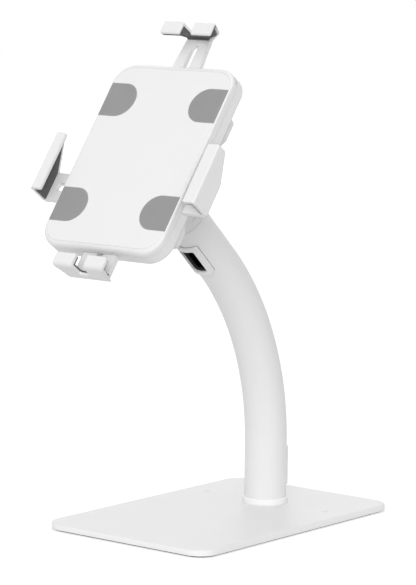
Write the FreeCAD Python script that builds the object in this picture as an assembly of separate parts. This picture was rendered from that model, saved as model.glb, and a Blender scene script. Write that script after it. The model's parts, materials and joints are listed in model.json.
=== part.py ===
"""Anti-theft tablet desk stand: base plate, bent column, tilting holder with four sliding arms.

Millimetres, +Z up, front towards -Y, origin on the desk under the middle of the base plate.
The holder's pieces are drawn in the holder's own frame: X to the right, Y up the face and
Z out of the face, with zero on the middle of the front face. They are then turned into place.
"""
import FreeCAD, Part
import math
import os

os.makedirs("parts", exist_ok=True)
V = FreeCAD.Vector
ACROSS = V(1, 0, 0)
UP = V(0, 0, 1)
REAR = V(0, 1, 0)

# Base plate and its pad
base_width = 200.0
base_depth = 300.0
base_thick = 6.0
base_corner_r = 20.0
base_edge_break = 1.0
foot_thick = 1.5
foot_inset = 3.0
foot_window_r = 12.0
foot_hole_r = 5.0
bolt_spacing = 150.0
bolt_hole_r = 3.25

# Column
column_setback = 70.0
tube_r = 21.0
tube_wall = 2.0
column_straight = 60.5
bend_r = 260.0
bend_angle = 47.0
end_run = 65.0
ring_r = 22.8
ring_height = 6.0
ring_chamfer = 0.8
foot_plug_height = 14.0
column_bolt_r = 5.0
column_bolt_head_r = 8.0
column_bolt_head_height = 4.0
column_bolt_socket = 6.0
column_bolt_bite = 12.0

# Cable frames in the column wall
frame_width = 26.0
frame_length = 40.0
frame_border = 4.5
frame_proud = 2.6
frame_corner_r = 2.6
frame_neck = 1.5
frame_neck_depth = 1.0
lower_frame_height = 35.7
upper_frame_back = 38.5

# Tilt hinge at the top of the column
pivot_reach = 33.0
fork_plug_length = 20.0
neck_step = 0.6
neck_height = 8.0
cheek_thick = 9.4
cheek_end_r = 14.0
barrel_r = 12.0
barrel_half = 8.2
tilt_washer_thick = 0.9
tilt_washer_r = 11.0
tilt_bolt_r = 4.0
tilt_head_r = 6.5
tilt_head_height = 4.0
tilt_seat_gap = 0.3
tilt_socket_flats = 5.2
tilt_nut_flats = 13.0
tilt_nut_height = 3.5
nut_seat_r = 8.3
fork_screw_r = 2.0
fork_screw_first = 5.0
fork_screw_pitch = 9.0
fork_screw_floor = 9.5
holder_angle = 54.0
pivot_drop = 6.6
pivot_depth = 61.8

# Swivel behind the holder
flange_r = 30.0
flange_thick = 5.0
gusset_size = 10.0
gusset_half = 2.4
knuckle_flare = 4.0
swivel_washer_thick = 1.0
swivel_washer_r = 26.0
spigot_r = 9.0
spigot_clear = 0.8
swivel_flange_r = 15.0
swivel_flange_thick = 1.0
swivel_nut_flats = 24.0
swivel_nut_height = 4.0

# Holder casings
holder_width = 145.4
holder_height = 203.0
holder_corner_r = 22.0
bevel_width = 1.6
bevel_width_ends = 4.4
bevel_depth = 4.8
bevel_steps = 4
back_edge = 2.0
wall = 2.2
front_depth = 8.85
rear_face = 20.0
rear_floor = 2.2
cover_face = 29.0
cover_wall = 2.5
cover_half_width = 69.2
cover_top = 63.0
cover_waist_half = 60.0
cover_waist_top = 39.5
cover_waist_top_slope = 14.0
cover_waist_bottom = -60.0
cover_waist_bottom_slope = 24.0
cover_bottom = -79.0
cover_corner_r = 6.0
cover_draft = 0.8
pry_slot_angle = 52.0
pry_slot_width = 4.0
pry_slot_height = 1.6

# Ribs and guide walls inside the holder
rib = 1.6
sink = 0.2
top_rib_out = 10.65
top_rib_end = 20.0
side_rib_out = 12.0
bottom_rib_out = 15.3
top_guide_end = 14.0
bottom_guide_end = -54.0
deck_wall_out = 10.0
deck_wall_gap = 3.0
clamp_guide_end = 22.0
clamp_guide_gap = 0.6

# Grey face pads
pad_height = 37.1
pad_width = 37.35
pad_edge = 70.9
pad_low = -57.6
pad_high = 59.56
pad_thick = 1.7
pad_pocket = 1.1
pad_gap = 0.1
pad_edge_break = 0.35

# Sliding arms and their hooks
arm_front = 9.0
arm_thick = 4.5
arm_gap = 0.15
side_gap = 0.3
hook_wall = 3.0
lip_front = 12.5
lip_thick = 3.2
liner_thick = 1.8
liner_inset = 1.2
liner_end_gap = 0.2
slot_half = 4.0
top_reach = 143.0
bottom_reach = 128.2
lip_height = 13.5
lip_half_span = 30.5
hook_slot_margin = 12.5
hook_neck = 11.5
top_lip_corner_r = 1.6
top_bend_r = 1.6
top_root_r = 2.4
bottom_lip_corner_r = 3.6
bottom_bend_r = 4.2
notch_half = 7.0
notch_wall_depth = 16.0
notch_taper = 1.6
top_arm_half_hook = 14.2
top_arm_half_body = 16.6
top_arm_taper = 28.0
top_arm_inner = 40.0
top_wall_mid_half = 26.5
top_wall_mid_back = 4.0
bottom_arm_half = 20.4
bottom_arm_inner = 60.0
bottom_wall_back_half = 23.0
bottom_wall_mid_half = 26.75
arm_bridge = 9.0

# Side arms, rack and pinion
side_reach = 100.0
side_arm_mid = -35.5
side_arm_width = 30.0
side_lip_width = 13.0
side_lip_top = 12.0
side_wall_top_back = 0.2
side_edge_bevel = 1.6
side_root_r = 2.1
side_low_chamfer = 2.0
side_top_step = 1.5
side_top_slant = 1.0
side_liner_slant = 3.0
side_slot_end = 89.2
side_rail_inner = -29.0
short_rail_inner = 70.0
gear_module = 0.8
pressure_angle = 20.0
root_share = 1.25
tip_share = 0.75
pinion_root_share = 1.2
flank_steps = 3
pinion_teeth = 12
tooth_play = 0.2
rack_tooth_count = 20
pinion_post_r = 2.0
pinion_front_gap = 0.1
running_gap = 0.06

# Guide posts, clamp plate and lock
post_r = 3.6
side_post_out = 60.0
top_post_up = 88.0
bottom_post_down = 93.0
clamp_half = 13.0
clamp_top = 74.0
clamp_bottom = -86.0
clamp_thick = 2.0
clamp_travel = 1.0
peg_r = 2.0
peg_gap = 0.15
peg_short = 0.1
post_room = 1.0
clamp_corner_r = 3.0
upper_peg = 5.0
lower_peg = -56.0
lock_up = 44.0
barrel_lock_r = 8.0
lock_flange_r = 10.5
lock_flange_proud = 2.0
lock_shell_gap = 0.2
plug_r = 5.5
key_slot_half = 0.7
key_slot_length = 7.4
key_slot_depth = 6.0
cam_length = 14.0
cam_half = 3.0
cam_corner_r = 2.5
cam_gap = 0.05
cam_thick = 1.2
lock_nut_flats = 22.0
lock_nut_height = 3.0

# Small screws
screw_r = 1.5
screw_head_r = 2.8
screw_head_height = 1.8
head_gap = 0.2
screw_socket = 2.0
screw_socket_depth = 1.0
screw_gap = 0.05
tip_gap = 0.4
pilot_cover = 0.8
boss_wall = 2.1
case_screw_out = 60.0
case_screw_high = 52.0
case_screw_low = -66.0

# Helpers for cutting and picking
over = 1.0
same = 0.01

# Places that follow from the sizes above
plate_top = foot_thick + base_thick
column_y = column_setback
straight_top = plate_top + column_straight
bend_rad = math.radians(bend_angle)
bend_end = V(0, column_y - bend_r * (1 - math.cos(bend_rad)), straight_top + bend_r * math.sin(bend_rad))
end_direction = V(0, -math.sin(bend_rad), math.cos(bend_rad))
tube_end = bend_end + end_direction * end_run
tube_bore_r = tube_r - tube_wall
end_place = FreeCAD.Placement(tube_end, FreeCAD.Rotation(ACROSS, bend_angle))
pivot = end_place.multVec(V(0, 0, pivot_reach))
holder_turn = FreeCAD.Rotation(ACROSS, holder_angle)
face_centre = pivot + holder_turn.multVec(V(0, pivot_drop, pivot_depth))
holder_place = FreeCAD.Placement(face_centre, holder_turn)
pivot_in_holder = V(0, -pivot_drop, -pivot_depth)

half_w = holder_width / 2
half_h = holder_height / 2
arm_back = arm_front + arm_thick
channel_floor = arm_back + arm_gap
floor_top = rear_face - rear_floor
cheek_inner = barrel_half + tilt_washer_thick
cheek_outer = cheek_inner + cheek_thick
neck_r = tube_r - neck_step
head_floor = cheek_outer - tilt_head_height
fork_screw_backs = (fork_screw_first, fork_screw_first + fork_screw_pitch)
tilt_axis = V(0, 0, pivot_reach)
washer_face = cover_face + swivel_washer_thick
flange_back = washer_face + flange_thick
cover_inside = cover_face - cover_wall
pitch_r = gear_module * pinion_teeth / 2
pinion_mid = V(0, side_arm_mid, 0)
lock_mid = V(0, lock_up, 0)
side_low = side_arm_mid - side_arm_width / 2
side_high = side_arm_mid + side_arm_width / 2
clamp_front = arm_back + clamp_travel
clamp_back = clamp_front + clamp_thick
column_foot = V(0, column_y, 0)
bolt_places = [V(side * bolt_spacing / 2, column_y, 0) for side in (-1, 1)]
guide_posts = [V(side * side_post_out, side_arm_mid, 0) for side in (-1, 1)]
guide_posts += [V(0, top_post_up, 0), V(0, -bottom_post_down, 0)]
pegs = [V(0, upper_peg, 0), V(0, lower_peg, 0)]
case_screws = [V(side * case_screw_out, y, 0) for side in (-1, 1) for y in (case_screw_high, case_screw_low)]


def cylinder(radius, low, high, at=V(0, 0, 0)):
    """Upright cylinder from low to high over the point at."""
    return Part.makeCylinder(radius, high - low, V(at.x, at.y, low), UP)


def ring(outer, inner, low, high, at=V(0, 0, 0)):
    """Upright tube piece."""
    return cylinder(outer, low, high, at).cut(cylinder(inner, low - over, high + over, at))


def cross_cylinder(radius, start, length, at=V(0, 0, 0)):
    """Cylinder that lies across, along X from start; a negative length runs to the left."""
    return Part.makeCylinder(radius, abs(length), V(start, at.y, at.z), ACROSS * (1 if length > 0 else -1))


def block(x0, x1, y0, y1, z0, z1):
    """Box between two corners."""
    return Part.makeBox(x1 - x0, y1 - y0, z1 - z0, V(x0, y0, z0))


def polygon(points):
    """Closed wire through the points."""
    return Part.makePolygon(list(points) + [points[0]])


def prism(points, low, high):
    """Outline in X and Y, raised from low to high."""
    face = Part.Face(polygon([V(x, y, low) for x, y in points]))
    return face.extrude(V(0, 0, high - low))


def side_prism(points, left, right):
    """Outline in Y and Z, carried across from left to right."""
    face = Part.Face(polygon([V(left, y, z) for y, z in points]))
    return face.extrude(V(right - left, 0, 0))


def rounded_wire(half_x, half_y, radius, level, centre=V(0, 0, 0)):
    """Rectangle with round corners at one level."""
    edges = []
    corners = [(1, 1, 0), (-1, 1, 90), (-1, -1, 180), (1, -1, 270)]
    for sx, sy, start in corners:
        mid = V(centre.x + sx * (half_x - radius), centre.y + sy * (half_y - radius), level)
        edges.append(Part.makeCircle(radius, mid, UP, start, start + 90))
    joined = []
    for number, arc in enumerate(edges):
        following = edges[(number + 1) % len(edges)]
        joined.append(arc)
        joined.append(Part.makeLine(arc.lastVertex().Point, following.firstVertex().Point))
    return Part.Wire(joined)


def rounded_slab(half_x, half_y, radius, low, high, centre=V(0, 0, 0)):
    """Slab with round corners."""
    face = Part.Face(rounded_wire(half_x, half_y, radius, low, centre))
    return face.extrude(V(0, 0, high - low))


def hexagon(flats, low, high, at=V(0, 0, 0)):
    """Hexagonal nut body with the given distance over its flats."""
    reach = flats / math.sqrt(3)
    corners = [(at.x + reach * math.cos(math.radians(60 * k)),
                at.y + reach * math.sin(math.radians(60 * k))) for k in range(6)]
    return prism(corners, low, high)


def fuse_all(shapes):
    """One solid out of touching shapes."""
    joined = shapes[0]
    for shape in shapes[1:]:
        joined = joined.fuse(shape)
    return joined.removeSplitter()


def cut_all(shape, tools):
    """The shape with every tool taken away."""
    for tool in tools:
        shape = shape.cut(tool)
    return shape


def mirrored(shape):
    """The same shape on the other side of the middle."""
    return shape.mirror(V(0, 0, 0), ACROSS)


def edges_where(shape, test):
    """Edges whose two ends and middle pass a test."""
    found = []
    for edge in shape.Edges:
        middle = edge.valueAt((edge.FirstParameter + edge.LastParameter) / 2)
        if all(test(point) for point in [v.Point for v in edge.Vertexes] + [middle]):
            found.append(edge)
    return found


def in_holder(shape):
    """Turn a piece from the holder's frame into its place."""
    placed = shape.copy()
    placed.Placement = holder_place.multiply(placed.Placement)
    return placed


def at_column_end(shape):
    """Turn a piece from the column end's frame into its place."""
    placed = shape.copy()
    placed.Placement = end_place.multiply(placed.Placement)
    return placed


def save(name, shape):
    """Write one piece, or a group of equal pieces, to its STEP file."""
    solids = shape.Solids
    result = solids[0] if len(solids) == 1 else Part.makeCompound(solids)
    result.exportStep("parts/" + name + ".step")


# Base

def base_plate():
    """Rounded steel plate with bolt-down holes and the sunk bolt hole under the column."""
    plate = rounded_slab(base_width / 2, base_depth / 2, base_corner_r, foot_thick, plate_top)
    rim = edges_where(plate, lambda p: abs(p.z - plate_top) < same)
    plate = plate.makeChamfer(base_edge_break, rim)
    low = foot_thick - over
    head_top = foot_thick + column_bolt_head_height
    tools = [cylinder(bolt_hole_r, low, plate_top + over, place) for place in bolt_places]
    tools.append(cylinder(column_bolt_r + screw_gap, low, plate_top + over, column_foot))
    tools.append(cylinder(column_bolt_head_r + head_gap, low, head_top, column_foot))
    return cut_all(plate, tools)


def base_pad():
    """Soft sheet stuck under the plate, open round the bolt and the bolt-down holes."""
    half_x = base_width / 2 - foot_inset
    half_y = base_depth / 2 - foot_inset
    sheet = rounded_slab(half_x, half_y, base_corner_r - foot_inset, 0, foot_thick)
    tools = [cylinder(foot_window_r, -over, foot_thick + over, column_foot)]
    tools += [cylinder(foot_hole_r, -over, foot_thick + over, place) for place in bolt_places]
    return cut_all(sheet, tools)


def column_foot_plug():
    """Threaded plug in the foot of the tube."""
    top = plate_top + foot_plug_height
    return ring(tube_bore_r - screw_gap, column_bolt_r + screw_gap, plate_top, top, column_foot)


def column_bolt():
    """Low-headed bolt from under the plate into the plug."""
    head_top = foot_thick + column_bolt_head_height
    head = cylinder(column_bolt_head_r, foot_thick, head_top, column_foot)
    shank = cylinder(column_bolt_r, head_top, plate_top + column_bolt_bite, column_foot)
    socket_top = foot_thick + column_bolt_head_height / 2
    socket = hexagon(column_bolt_socket, foot_thick - over, socket_top, column_foot)
    return head.fuse(shank).cut(socket)


# Column

def swept_tube(outer, inner):
    """Upright run, long bend towards the front and straight end run of a tube."""
    start = V(0, column_y, plate_top)
    lower = Part.makeCylinder(outer, column_straight, start, UP)
    lower = lower.cut(Part.makeCylinder(inner, column_straight, start, UP))
    section = Part.Face(Part.Wire(Part.makeCircle(outer, V(0, column_y, straight_top), UP)))
    section = section.cut(Part.Face(Part.Wire(Part.makeCircle(inner, V(0, column_y, straight_top), UP))))
    bend = section.revolve(V(0, column_y - bend_r, straight_top), ACROSS, bend_angle)
    upper = Part.makeCylinder(outer, end_run, bend_end, end_direction)
    upper = upper.cut(Part.makeCylinder(inner, end_run, bend_end, end_direction))
    return fuse_all([lower, bend, upper])


def frame_place(upper):
    """Frame of a cable frame: Z out of the tube's axis through the wall, Y along the tube."""
    if upper:
        turn = FreeCAD.Rotation(ACROSS, bend_angle).multiply(FreeCAD.Rotation(ACROSS, 90))
        return FreeCAD.Placement(end_place.multVec(V(0, 0, -upper_frame_back)), turn)
    turn = FreeCAD.Rotation(UP, 180).multiply(FreeCAD.Rotation(ACROSS, 90))
    return FreeCAD.Placement(V(0, column_y, plate_top + lower_frame_height), turn)


def frame_window(margin, low, high):
    """Upright rounded block through the wall, as large as the frame less a margin."""
    half_x = frame_width / 2 - margin
    half_y = frame_length / 2 - margin
    return rounded_slab(half_x, half_y, frame_corner_r, low, high)


def placed_at(shape, place):
    """Copy of a shape in another frame."""
    moved = shape.copy()
    moved.Placement = place.multiply(moved.Placement)
    return moved


def column_tube():
    """Bent tube with two cable windows and holes for the fork's set screws."""
    tube = swept_tube(tube_r, tube_bore_r)
    window = frame_window(frame_border - frame_neck, tube_r / 2, 2 * tube_r)
    tools = [placed_at(window, frame_place(False)), placed_at(window, frame_place(True))]
    for back in fork_screw_backs:
        hole = Part.makeCylinder(fork_screw_r + screw_gap, 2 * tube_r, V(0, 0, -back), REAR)
        tools.append(at_column_end(hole))
    return cut_all(tube, tools)


def cable_frame(upper):
    """Moulded frame that lines a cable window: a curved flange outside and a neck in the wall."""
    run = frame_length * 2
    start = V(0, -frame_length, 0)
    flange_outer = Part.makeCylinder(tube_r + frame_proud, run, start, REAR)
    flange_inner = Part.makeCylinder(tube_r, run, start, REAR)
    neck_inner = Part.makeCylinder(tube_bore_r - frame_neck_depth, run, start, REAR)
    flange = frame_window(0, tube_r / 2, 2 * tube_r).common(flange_outer).cut(flange_inner)
    neck_block = frame_window(frame_border - frame_neck + screw_gap, tube_r / 2, 2 * tube_r)
    neck = neck_block.common(flange_outer).cut(neck_inner)
    opening = frame_window(frame_border, 0, 2 * tube_r)
    frame = fuse_all([flange, neck]).cut(opening)
    return placed_at(frame, frame_place(upper))


def column_ring():
    """Collar round the foot of the tube."""
    collar = ring(ring_r, tube_r + screw_gap, plate_top, plate_top + ring_height, column_foot)
    top = edges_where(collar, lambda p: p.z > plate_top + ring_height - same
                      and math.hypot(p.x, p.y - column_y) > ring_r - same)
    return collar.makeChamfer(ring_chamfer, top)


# Tilt hinge

def column_end_fork():
    """Plug in the tube's end that carries two cheeks for the tilt bolt."""
    plug = cylinder(tube_bore_r - screw_gap, -fork_plug_length, 0)
    neck = cylinder(neck_r, 0, neck_height)
    low = neck_height - over
    profile = [(-neck_r, low), (neck_r, low), (cheek_end_r, pivot_reach), (-cheek_end_r, pivot_reach)]
    taper = side_prism(profile, -cheek_outer, cheek_outer)
    rounded = cross_cylinder(cheek_end_r, -cheek_outer, 2 * cheek_outer, tilt_axis)
    cheeks = cylinder(neck_r, low, pivot_reach + cheek_end_r).common(taper.fuse(rounded))
    body = fuse_all([plug, neck, cheeks])
    slot_floor = pivot_reach - barrel_r - side_gap
    slot = block(-cheek_inner, cheek_inner, -tube_r, tube_r, slot_floor, pivot_reach + 2 * cheek_end_r)
    bore = cross_cylinder(tilt_bolt_r + running_gap, -2 * neck_r, 4 * neck_r, tilt_axis)
    head_seat = cross_cylinder(tilt_head_r + tilt_seat_gap, head_floor, neck_r, tilt_axis)
    nut_seat = cross_cylinder(nut_seat_r, -head_floor, -neck_r, tilt_axis)
    tools = [slot, bore, head_seat, nut_seat]
    for back in fork_screw_backs:
        start = V(0, fork_screw_floor - over, -back)
        tools.append(Part.makeCylinder(fork_screw_r + screw_gap, tube_r, start, REAR))
    return at_column_end(cut_all(body, tools))


def fork_screws():
    """Two set screws through the rear of the tube wall into the fork's plug."""
    screws = []
    length = tube_r - fork_screw_floor
    for back in fork_screw_backs:
        screw = Part.makeCylinder(fork_screw_r, length, V(0, fork_screw_floor, -back), REAR)
        screws.append(screw)
    return at_column_end(Part.makeCompound(screws))


def cross_hex(flats, start, length, direction):
    """Hexagonal prism along the tilt axis."""
    body = hexagon(flats, 0, length)
    body.Placement = FreeCAD.Placement(V(start, 0, pivot_reach), FreeCAD.Rotation(UP, V(direction, 0, 0)))
    return body


def tilt_bolt():
    """Cross bolt through the cheeks and the knuckle."""
    head = cross_cylinder(tilt_head_r, head_floor, tilt_head_height, tilt_axis)
    socket = cross_hex(tilt_socket_flats, cheek_outer - tilt_head_height / 2, tilt_head_height, 1)
    shank = cross_cylinder(tilt_bolt_r, -cheek_outer, cheek_outer + head_floor, tilt_axis)
    return at_column_end(head.fuse(shank).cut(socket))


def tilt_nut():
    """Lock nut of the cross bolt."""
    nut = cross_hex(tilt_nut_flats, -head_floor, tilt_nut_height, -1)
    bore = cross_cylinder(tilt_bolt_r + screw_gap, -2 * cheek_outer, 4 * cheek_outer, tilt_axis)
    return at_column_end(nut.cut(bore))


def tilt_washers():
    """Friction washers on both sides of the knuckle's barrel."""
    washers = []
    bore = cross_cylinder(tilt_bolt_r + running_gap, -cheek_outer, 2 * cheek_outer, tilt_axis)
    for start in (-cheek_inner, barrel_half):
        disc = cross_cylinder(tilt_washer_r, start, tilt_washer_thick, tilt_axis)
        washers.append(disc.cut(bore))
    return at_column_end(Part.makeCompound(washers))


def tilt_knuckle():
    """Barrel on the tilt bolt, its arm, and the flange and spigot that the holder turns on."""
    mid = pivot_in_holder
    barrel = cross_cylinder(barrel_r, -barrel_half, 2 * barrel_half, mid)
    flank = barrel_r + knuckle_flare
    outline = [(mid.y - barrel_r, mid.z), (mid.y + barrel_r, mid.z)]
    outline += [(flank, -flange_back), (-flank, -flange_back)]
    arm = side_prism(outline, -barrel_half, barrel_half)
    flange = cylinder(flange_r, -flange_back, -washer_face)
    web = [(barrel_half + gusset_size, -flange_back), (barrel_half, -flange_back - gusset_size)]
    web += [(-x, z) for x, z in reversed(web)]
    gusset = Part.Face(polygon([V(x, -gusset_half, z) for x, z in web])).extrude(V(0, 2 * gusset_half, 0))
    spigot = cylinder(spigot_r, -washer_face, -rear_face - spigot_clear)
    body = fuse_all([barrel, arm, flange, gusset, spigot])
    bore = cross_cylinder(tilt_bolt_r + running_gap, -2 * barrel_half, 4 * barrel_half, mid)
    return in_holder(body.cut(bore))


def swivel_washer():
    """Friction disc between the flange and the rear cover."""
    return in_holder(ring(swivel_washer_r, spigot_r + running_gap, -washer_face, -cover_face))


def swivel_nut():
    """Large flanged nut on the spigot, inside the rear cover."""
    low = -cover_inside
    seat = low + swivel_flange_thick
    top = seat + swivel_nut_height
    nut = cylinder(swivel_flange_r, low, seat).fuse(hexagon(swivel_nut_flats, seat, top))
    bore = cylinder(spigot_r + screw_gap, low - over, top + over)
    return in_holder(nut.cut(bore))


# Holder casings

def pad_outline(side, level, grow, low, high):
    """D shape of one face pad: straight outer side, half-round inner end."""
    half = pad_height / 2 + grow
    mid_x = pad_edge - (pad_width - pad_height / 2)
    end = cylinder(half, low, high, V(side * mid_x, level, 0))
    outer = pad_edge + grow
    x0 = min(side * outer, side * mid_x)
    x1 = max(side * outer, side * mid_x)
    straight = block(x0, x1, level - half, level + half, low, high)
    limit = block(-outer, outer, level - half, level + half, low, high)
    return end.fuse(straight).removeSplitter().common(limit)


def face_pads():
    """Four grey rubber pads let into the face."""
    pads = []
    front = pad_thick - pad_pocket
    for side in (-1, 1):
        for level in (pad_low, pad_high):
            pad = pad_outline(side, level, 0, -pad_pocket, front)
            rim = edges_where(pad, lambda p: p.z > front - same)
            pads.append(pad.makeChamfer(pad_edge_break, rim))
    return in_holder(Part.makeCompound(pads))


def rib_along(x, y0, y1, low, high):
    """Rib that runs up the face at x."""
    return block(x - rib / 2, x + rib / 2, y0, y1, low, high)


def rib_across(y, x0, x1, low, high):
    """Rib that runs across the face at y."""
    return block(min(x0, x1), max(x0, x1), y - rib / 2, y + rib / 2, low, high)


def front_ribs():
    """Ribs in the front casing that bear on the arms."""
    ribs = []
    for side in (-1, 1):
        ribs.append(rib_along(side * top_rib_out, top_rib_end, half_h - wall, -front_depth, -wall))
        low = -half_h + wall
        ribs.append(rib_along(side * bottom_rib_out, low, -bottom_arm_inner, -front_depth, -wall))
        level = side_arm_mid + side * side_rib_out
        ribs.append(rib_across(level, -half_w + wall, half_w - wall, -front_depth, -wall))
    return ribs


def casing_with_edge(low, high, inset_x, inset_y, depth):
    """Slab of the casing's outline with an elliptical edge; a negative depth rounds its low face."""
    face = high if depth > 0 else low
    rims = []
    for step in range(bevel_steps + 1):
        turn = math.radians(90.0 * step / bevel_steps)
        aside = 1 - math.cos(turn)
        level = face - depth * (1 - math.sin(turn))
        half_x = half_w - inset_x * aside
        half_y = half_h - inset_y * aside
        rims.append(rounded_wire(half_x, half_y, holder_corner_r - inset_x * aside, level))
    edge = Part.makeLoft(rims, True, True)
    straight = rounded_slab(half_w, half_h, holder_corner_r, max(low, low - depth), min(high, high - depth))
    return straight.fuse(edge).removeSplitter()


def front_shell():
    """Front casing: bevelled tray with pad pockets, screw bosses and ribs behind the arms."""
    body = casing_with_edge(-front_depth, 0, bevel_width, bevel_width_ends, bevel_depth)
    corner = holder_corner_r - wall
    inside = rounded_slab(half_w - wall, half_h - wall, corner, -front_depth - over, -bevel_depth)
    inner_crown = rounded_slab(half_w - wall - bevel_width, half_h - wall - bevel_width_ends,
                               corner - bevel_width, -bevel_depth - same, -wall)
    body = cut_all(body, [inside, inner_crown])
    bosses = [cylinder(screw_r + boss_wall, -front_depth, -wall, place) for place in case_screws]
    body = fuse_all([body] + bosses + front_ribs())
    tools = [cylinder(screw_r + screw_gap, -front_depth - over, -wall - pilot_cover, p) for p in case_screws]
    for side in (-1, 1):
        for level in (pad_low, pad_high):
            tools.append(pad_outline(side, level, pad_gap, -pad_pocket, over))
    return in_holder(cut_all(body, tools))


def rounded_polygon(points, radius, level):
    """Closed outline through corner points, each corner rounded."""
    corners = [V(x, y, level) for x, y in points]
    count = len(corners)
    arcs = []
    for number, corner in enumerate(corners):
        before = (corners[number - 1] - corner).normalize()
        after = (corners[(number + 1) % count] - corner).normalize()
        half_turn = before.getAngle(after) / 2
        cut = radius / math.tan(half_turn)
        centre = corner + (before + after).normalize() * (radius / math.sin(half_turn))
        middle = centre + (corner - centre).normalize() * radius
        arcs.append(Part.Arc(corner + before * cut, middle, corner + after * cut))
    edges = []
    for number, arc in enumerate(arcs):
        edges.append(arc.toShape())
        edges.append(Part.makeLine(arc.EndPoint, arcs[(number + 1) % count].StartPoint))
    return Part.Wire(edges)


def cover_outline(inset):
    """Corner points of the waisted rear cover, less an inset."""
    wide = cover_half_width - inset
    waist = cover_waist_half - inset
    high = cover_waist_top + inset / 2
    low = cover_waist_bottom - inset / 2
    right = [(wide, cover_bottom + inset), (wide, low), (waist, low + cover_waist_bottom_slope)]
    right += [(waist, high - cover_waist_top_slope), (wide, high), (wide, cover_top - inset)]
    return right + [(-x, y) for x, y in reversed(right)]


def cover_body(inset, low, high):
    """Solid of the rear cover's outline, drafted towards its back, less an inset."""
    lower = rounded_polygon(cover_outline(inset + cover_draft), cover_corner_r - cover_draft, low)
    upper = rounded_polygon(cover_outline(inset), cover_corner_r - cover_draft, high)
    return Part.makeLoft([lower, upper], True, True)


def rear_cover():
    """Raised back cover with the swivel hole, the lock hole and its screw bosses."""
    body = cover_body(0, -cover_face, -rear_face)
    body = body.cut(cover_body(cover_wall, -cover_inside, -rear_face + same))
    bosses = [cylinder(screw_r + boss_wall, -cover_inside - sink, -rear_face, p) for p in case_screws]
    body = fuse_all([body] + bosses)
    low = -cover_face - over
    high = -rear_face + over
    tools = [cylinder(spigot_r + running_gap, low, high)]
    tools.append(cylinder(barrel_lock_r + screw_gap, low, high, lock_mid))
    for place in case_screws:
        tools.append(cylinder(screw_r + screw_gap, low, high, place))
        tools.append(cylinder(screw_head_r + head_gap, low, -cover_face + screw_head_height, place))
    return in_holder(cut_all(body, tools))


def arm_mouths():
    """Openings in the rear shell's rim for the four arms."""
    low = -channel_floor
    high = -front_depth + over
    half = side_arm_width / 2 + side_gap
    across = block(-half_w - over, half_w + over, side_arm_mid - half, side_arm_mid + half, low, high)
    top_half = top_arm_half_body + side_gap
    above = block(-top_half, top_half, half_h / 2, half_h + over, low, high)
    bottom_half = bottom_arm_half + side_gap
    below = block(-bottom_half, bottom_half, -half_h - over, -half_h / 2, low, high)
    return [across, above, below]


def guide_walls():
    """Walls in the rear shell that run along the arms and carry them."""
    low = -floor_top - sink
    deck = -channel_floor
    top_end = half_h - wall / 2
    side_end = half_w - wall / 2
    walls = []
    for side in (-1, 1):
        x = side * (top_arm_half_body + side_gap + rib / 2)
        walls.append(rib_along(x, top_guide_end, top_end, low, -front_depth))
        x = side * (bottom_arm_half + side_gap + rib / 2)
        walls.append(rib_along(x, -top_end, bottom_guide_end, low, -front_depth))
        x = side * (clamp_half + clamp_guide_gap + rib / 2)
        walls.append(rib_along(x, clamp_guide_end, top_end, low, deck))
        walls.append(rib_along(x, -top_end, bottom_guide_end, low, deck))
        y = side_arm_mid + side * (side_arm_width / 2 + side_gap + rib / 2)
        deck_y = side_arm_mid + side * deck_wall_out
        for end in (-1, 1):
            inner = end * (bottom_arm_half + side_gap + rib / 2)
            walls.append(rib_across(y, end * side_end, inner, low, -front_depth))
            inner = end * (clamp_half + deck_wall_gap)
            walls.append(rib_across(deck_y, end * side_end, inner, low, deck))
    return walls


def pry_slot():
    """Short slot on the seam between the casings, at the upper right corner."""
    low = -front_depth - pry_slot_height
    slot = block(-pry_slot_width / 2, pry_slot_width / 2, -wall * 1.5, wall * 1.5, low, -front_depth + over)
    corner = V(half_w - holder_corner_r, half_h - holder_corner_r, 0)
    angle = math.radians(pry_slot_angle)
    middle = corner + V(math.cos(angle), math.sin(angle), 0) * (holder_corner_r - wall)
    slot.Placement = FreeCAD.Placement(middle, FreeCAD.Rotation(UP, pry_slot_angle - 90))
    return slot


def rear_shell():
    """Rear casing: tray with arm mouths, guide walls, posts, pegs and the pinion's pin."""
    body = casing_with_edge(-rear_face, -front_depth, back_edge, back_edge, -back_edge)
    corner = holder_corner_r - wall
    inside = rounded_slab(half_w - wall, half_h - wall, corner, -floor_top, -front_depth + over)
    body = body.cut(inside)
    low = -floor_top - sink
    bosses = [cylinder(screw_r + boss_wall, low, -front_depth, place) for place in case_screws]
    walls = cut_all(fuse_all([body] + bosses + guide_walls()), arm_mouths())
    posts = [cylinder(post_r, low, -front_depth, place) for place in guide_posts]
    posts.append(cylinder(pinion_post_r, low, -arm_front, pinion_mid))
    posts += [cylinder(peg_r, low, -clamp_front - peg_short, place) for place in pegs]
    body = fuse_all([walls] + posts)
    back = -rear_face - over
    tools = [pry_slot(), cylinder(barrel_lock_r + lock_shell_gap, back, -floor_top + over, lock_mid)]
    tools += [cylinder(screw_r + screw_gap, back, 0, place) for place in case_screws]
    return in_holder(cut_all(body, tools))


def case_screw_set():
    """Four screws from the back through the cover and the rear casing into the front one."""
    seat = -cover_face + screw_head_height
    tip = -wall - pilot_cover - tip_gap
    socket_low = -cover_face - over
    screws = []
    for place in case_screws:
        head = cylinder(screw_head_r, -cover_face, seat, place)
        shank = cylinder(screw_r, seat, tip, place)
        socket = hexagon(screw_socket, socket_low, -cover_face + screw_socket_depth, place)
        screws.append(head.fuse(shank).cut(socket))
    return in_holder(Part.makeCompound(screws))


# Arms with hooks, drawn pointing up the face

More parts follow.
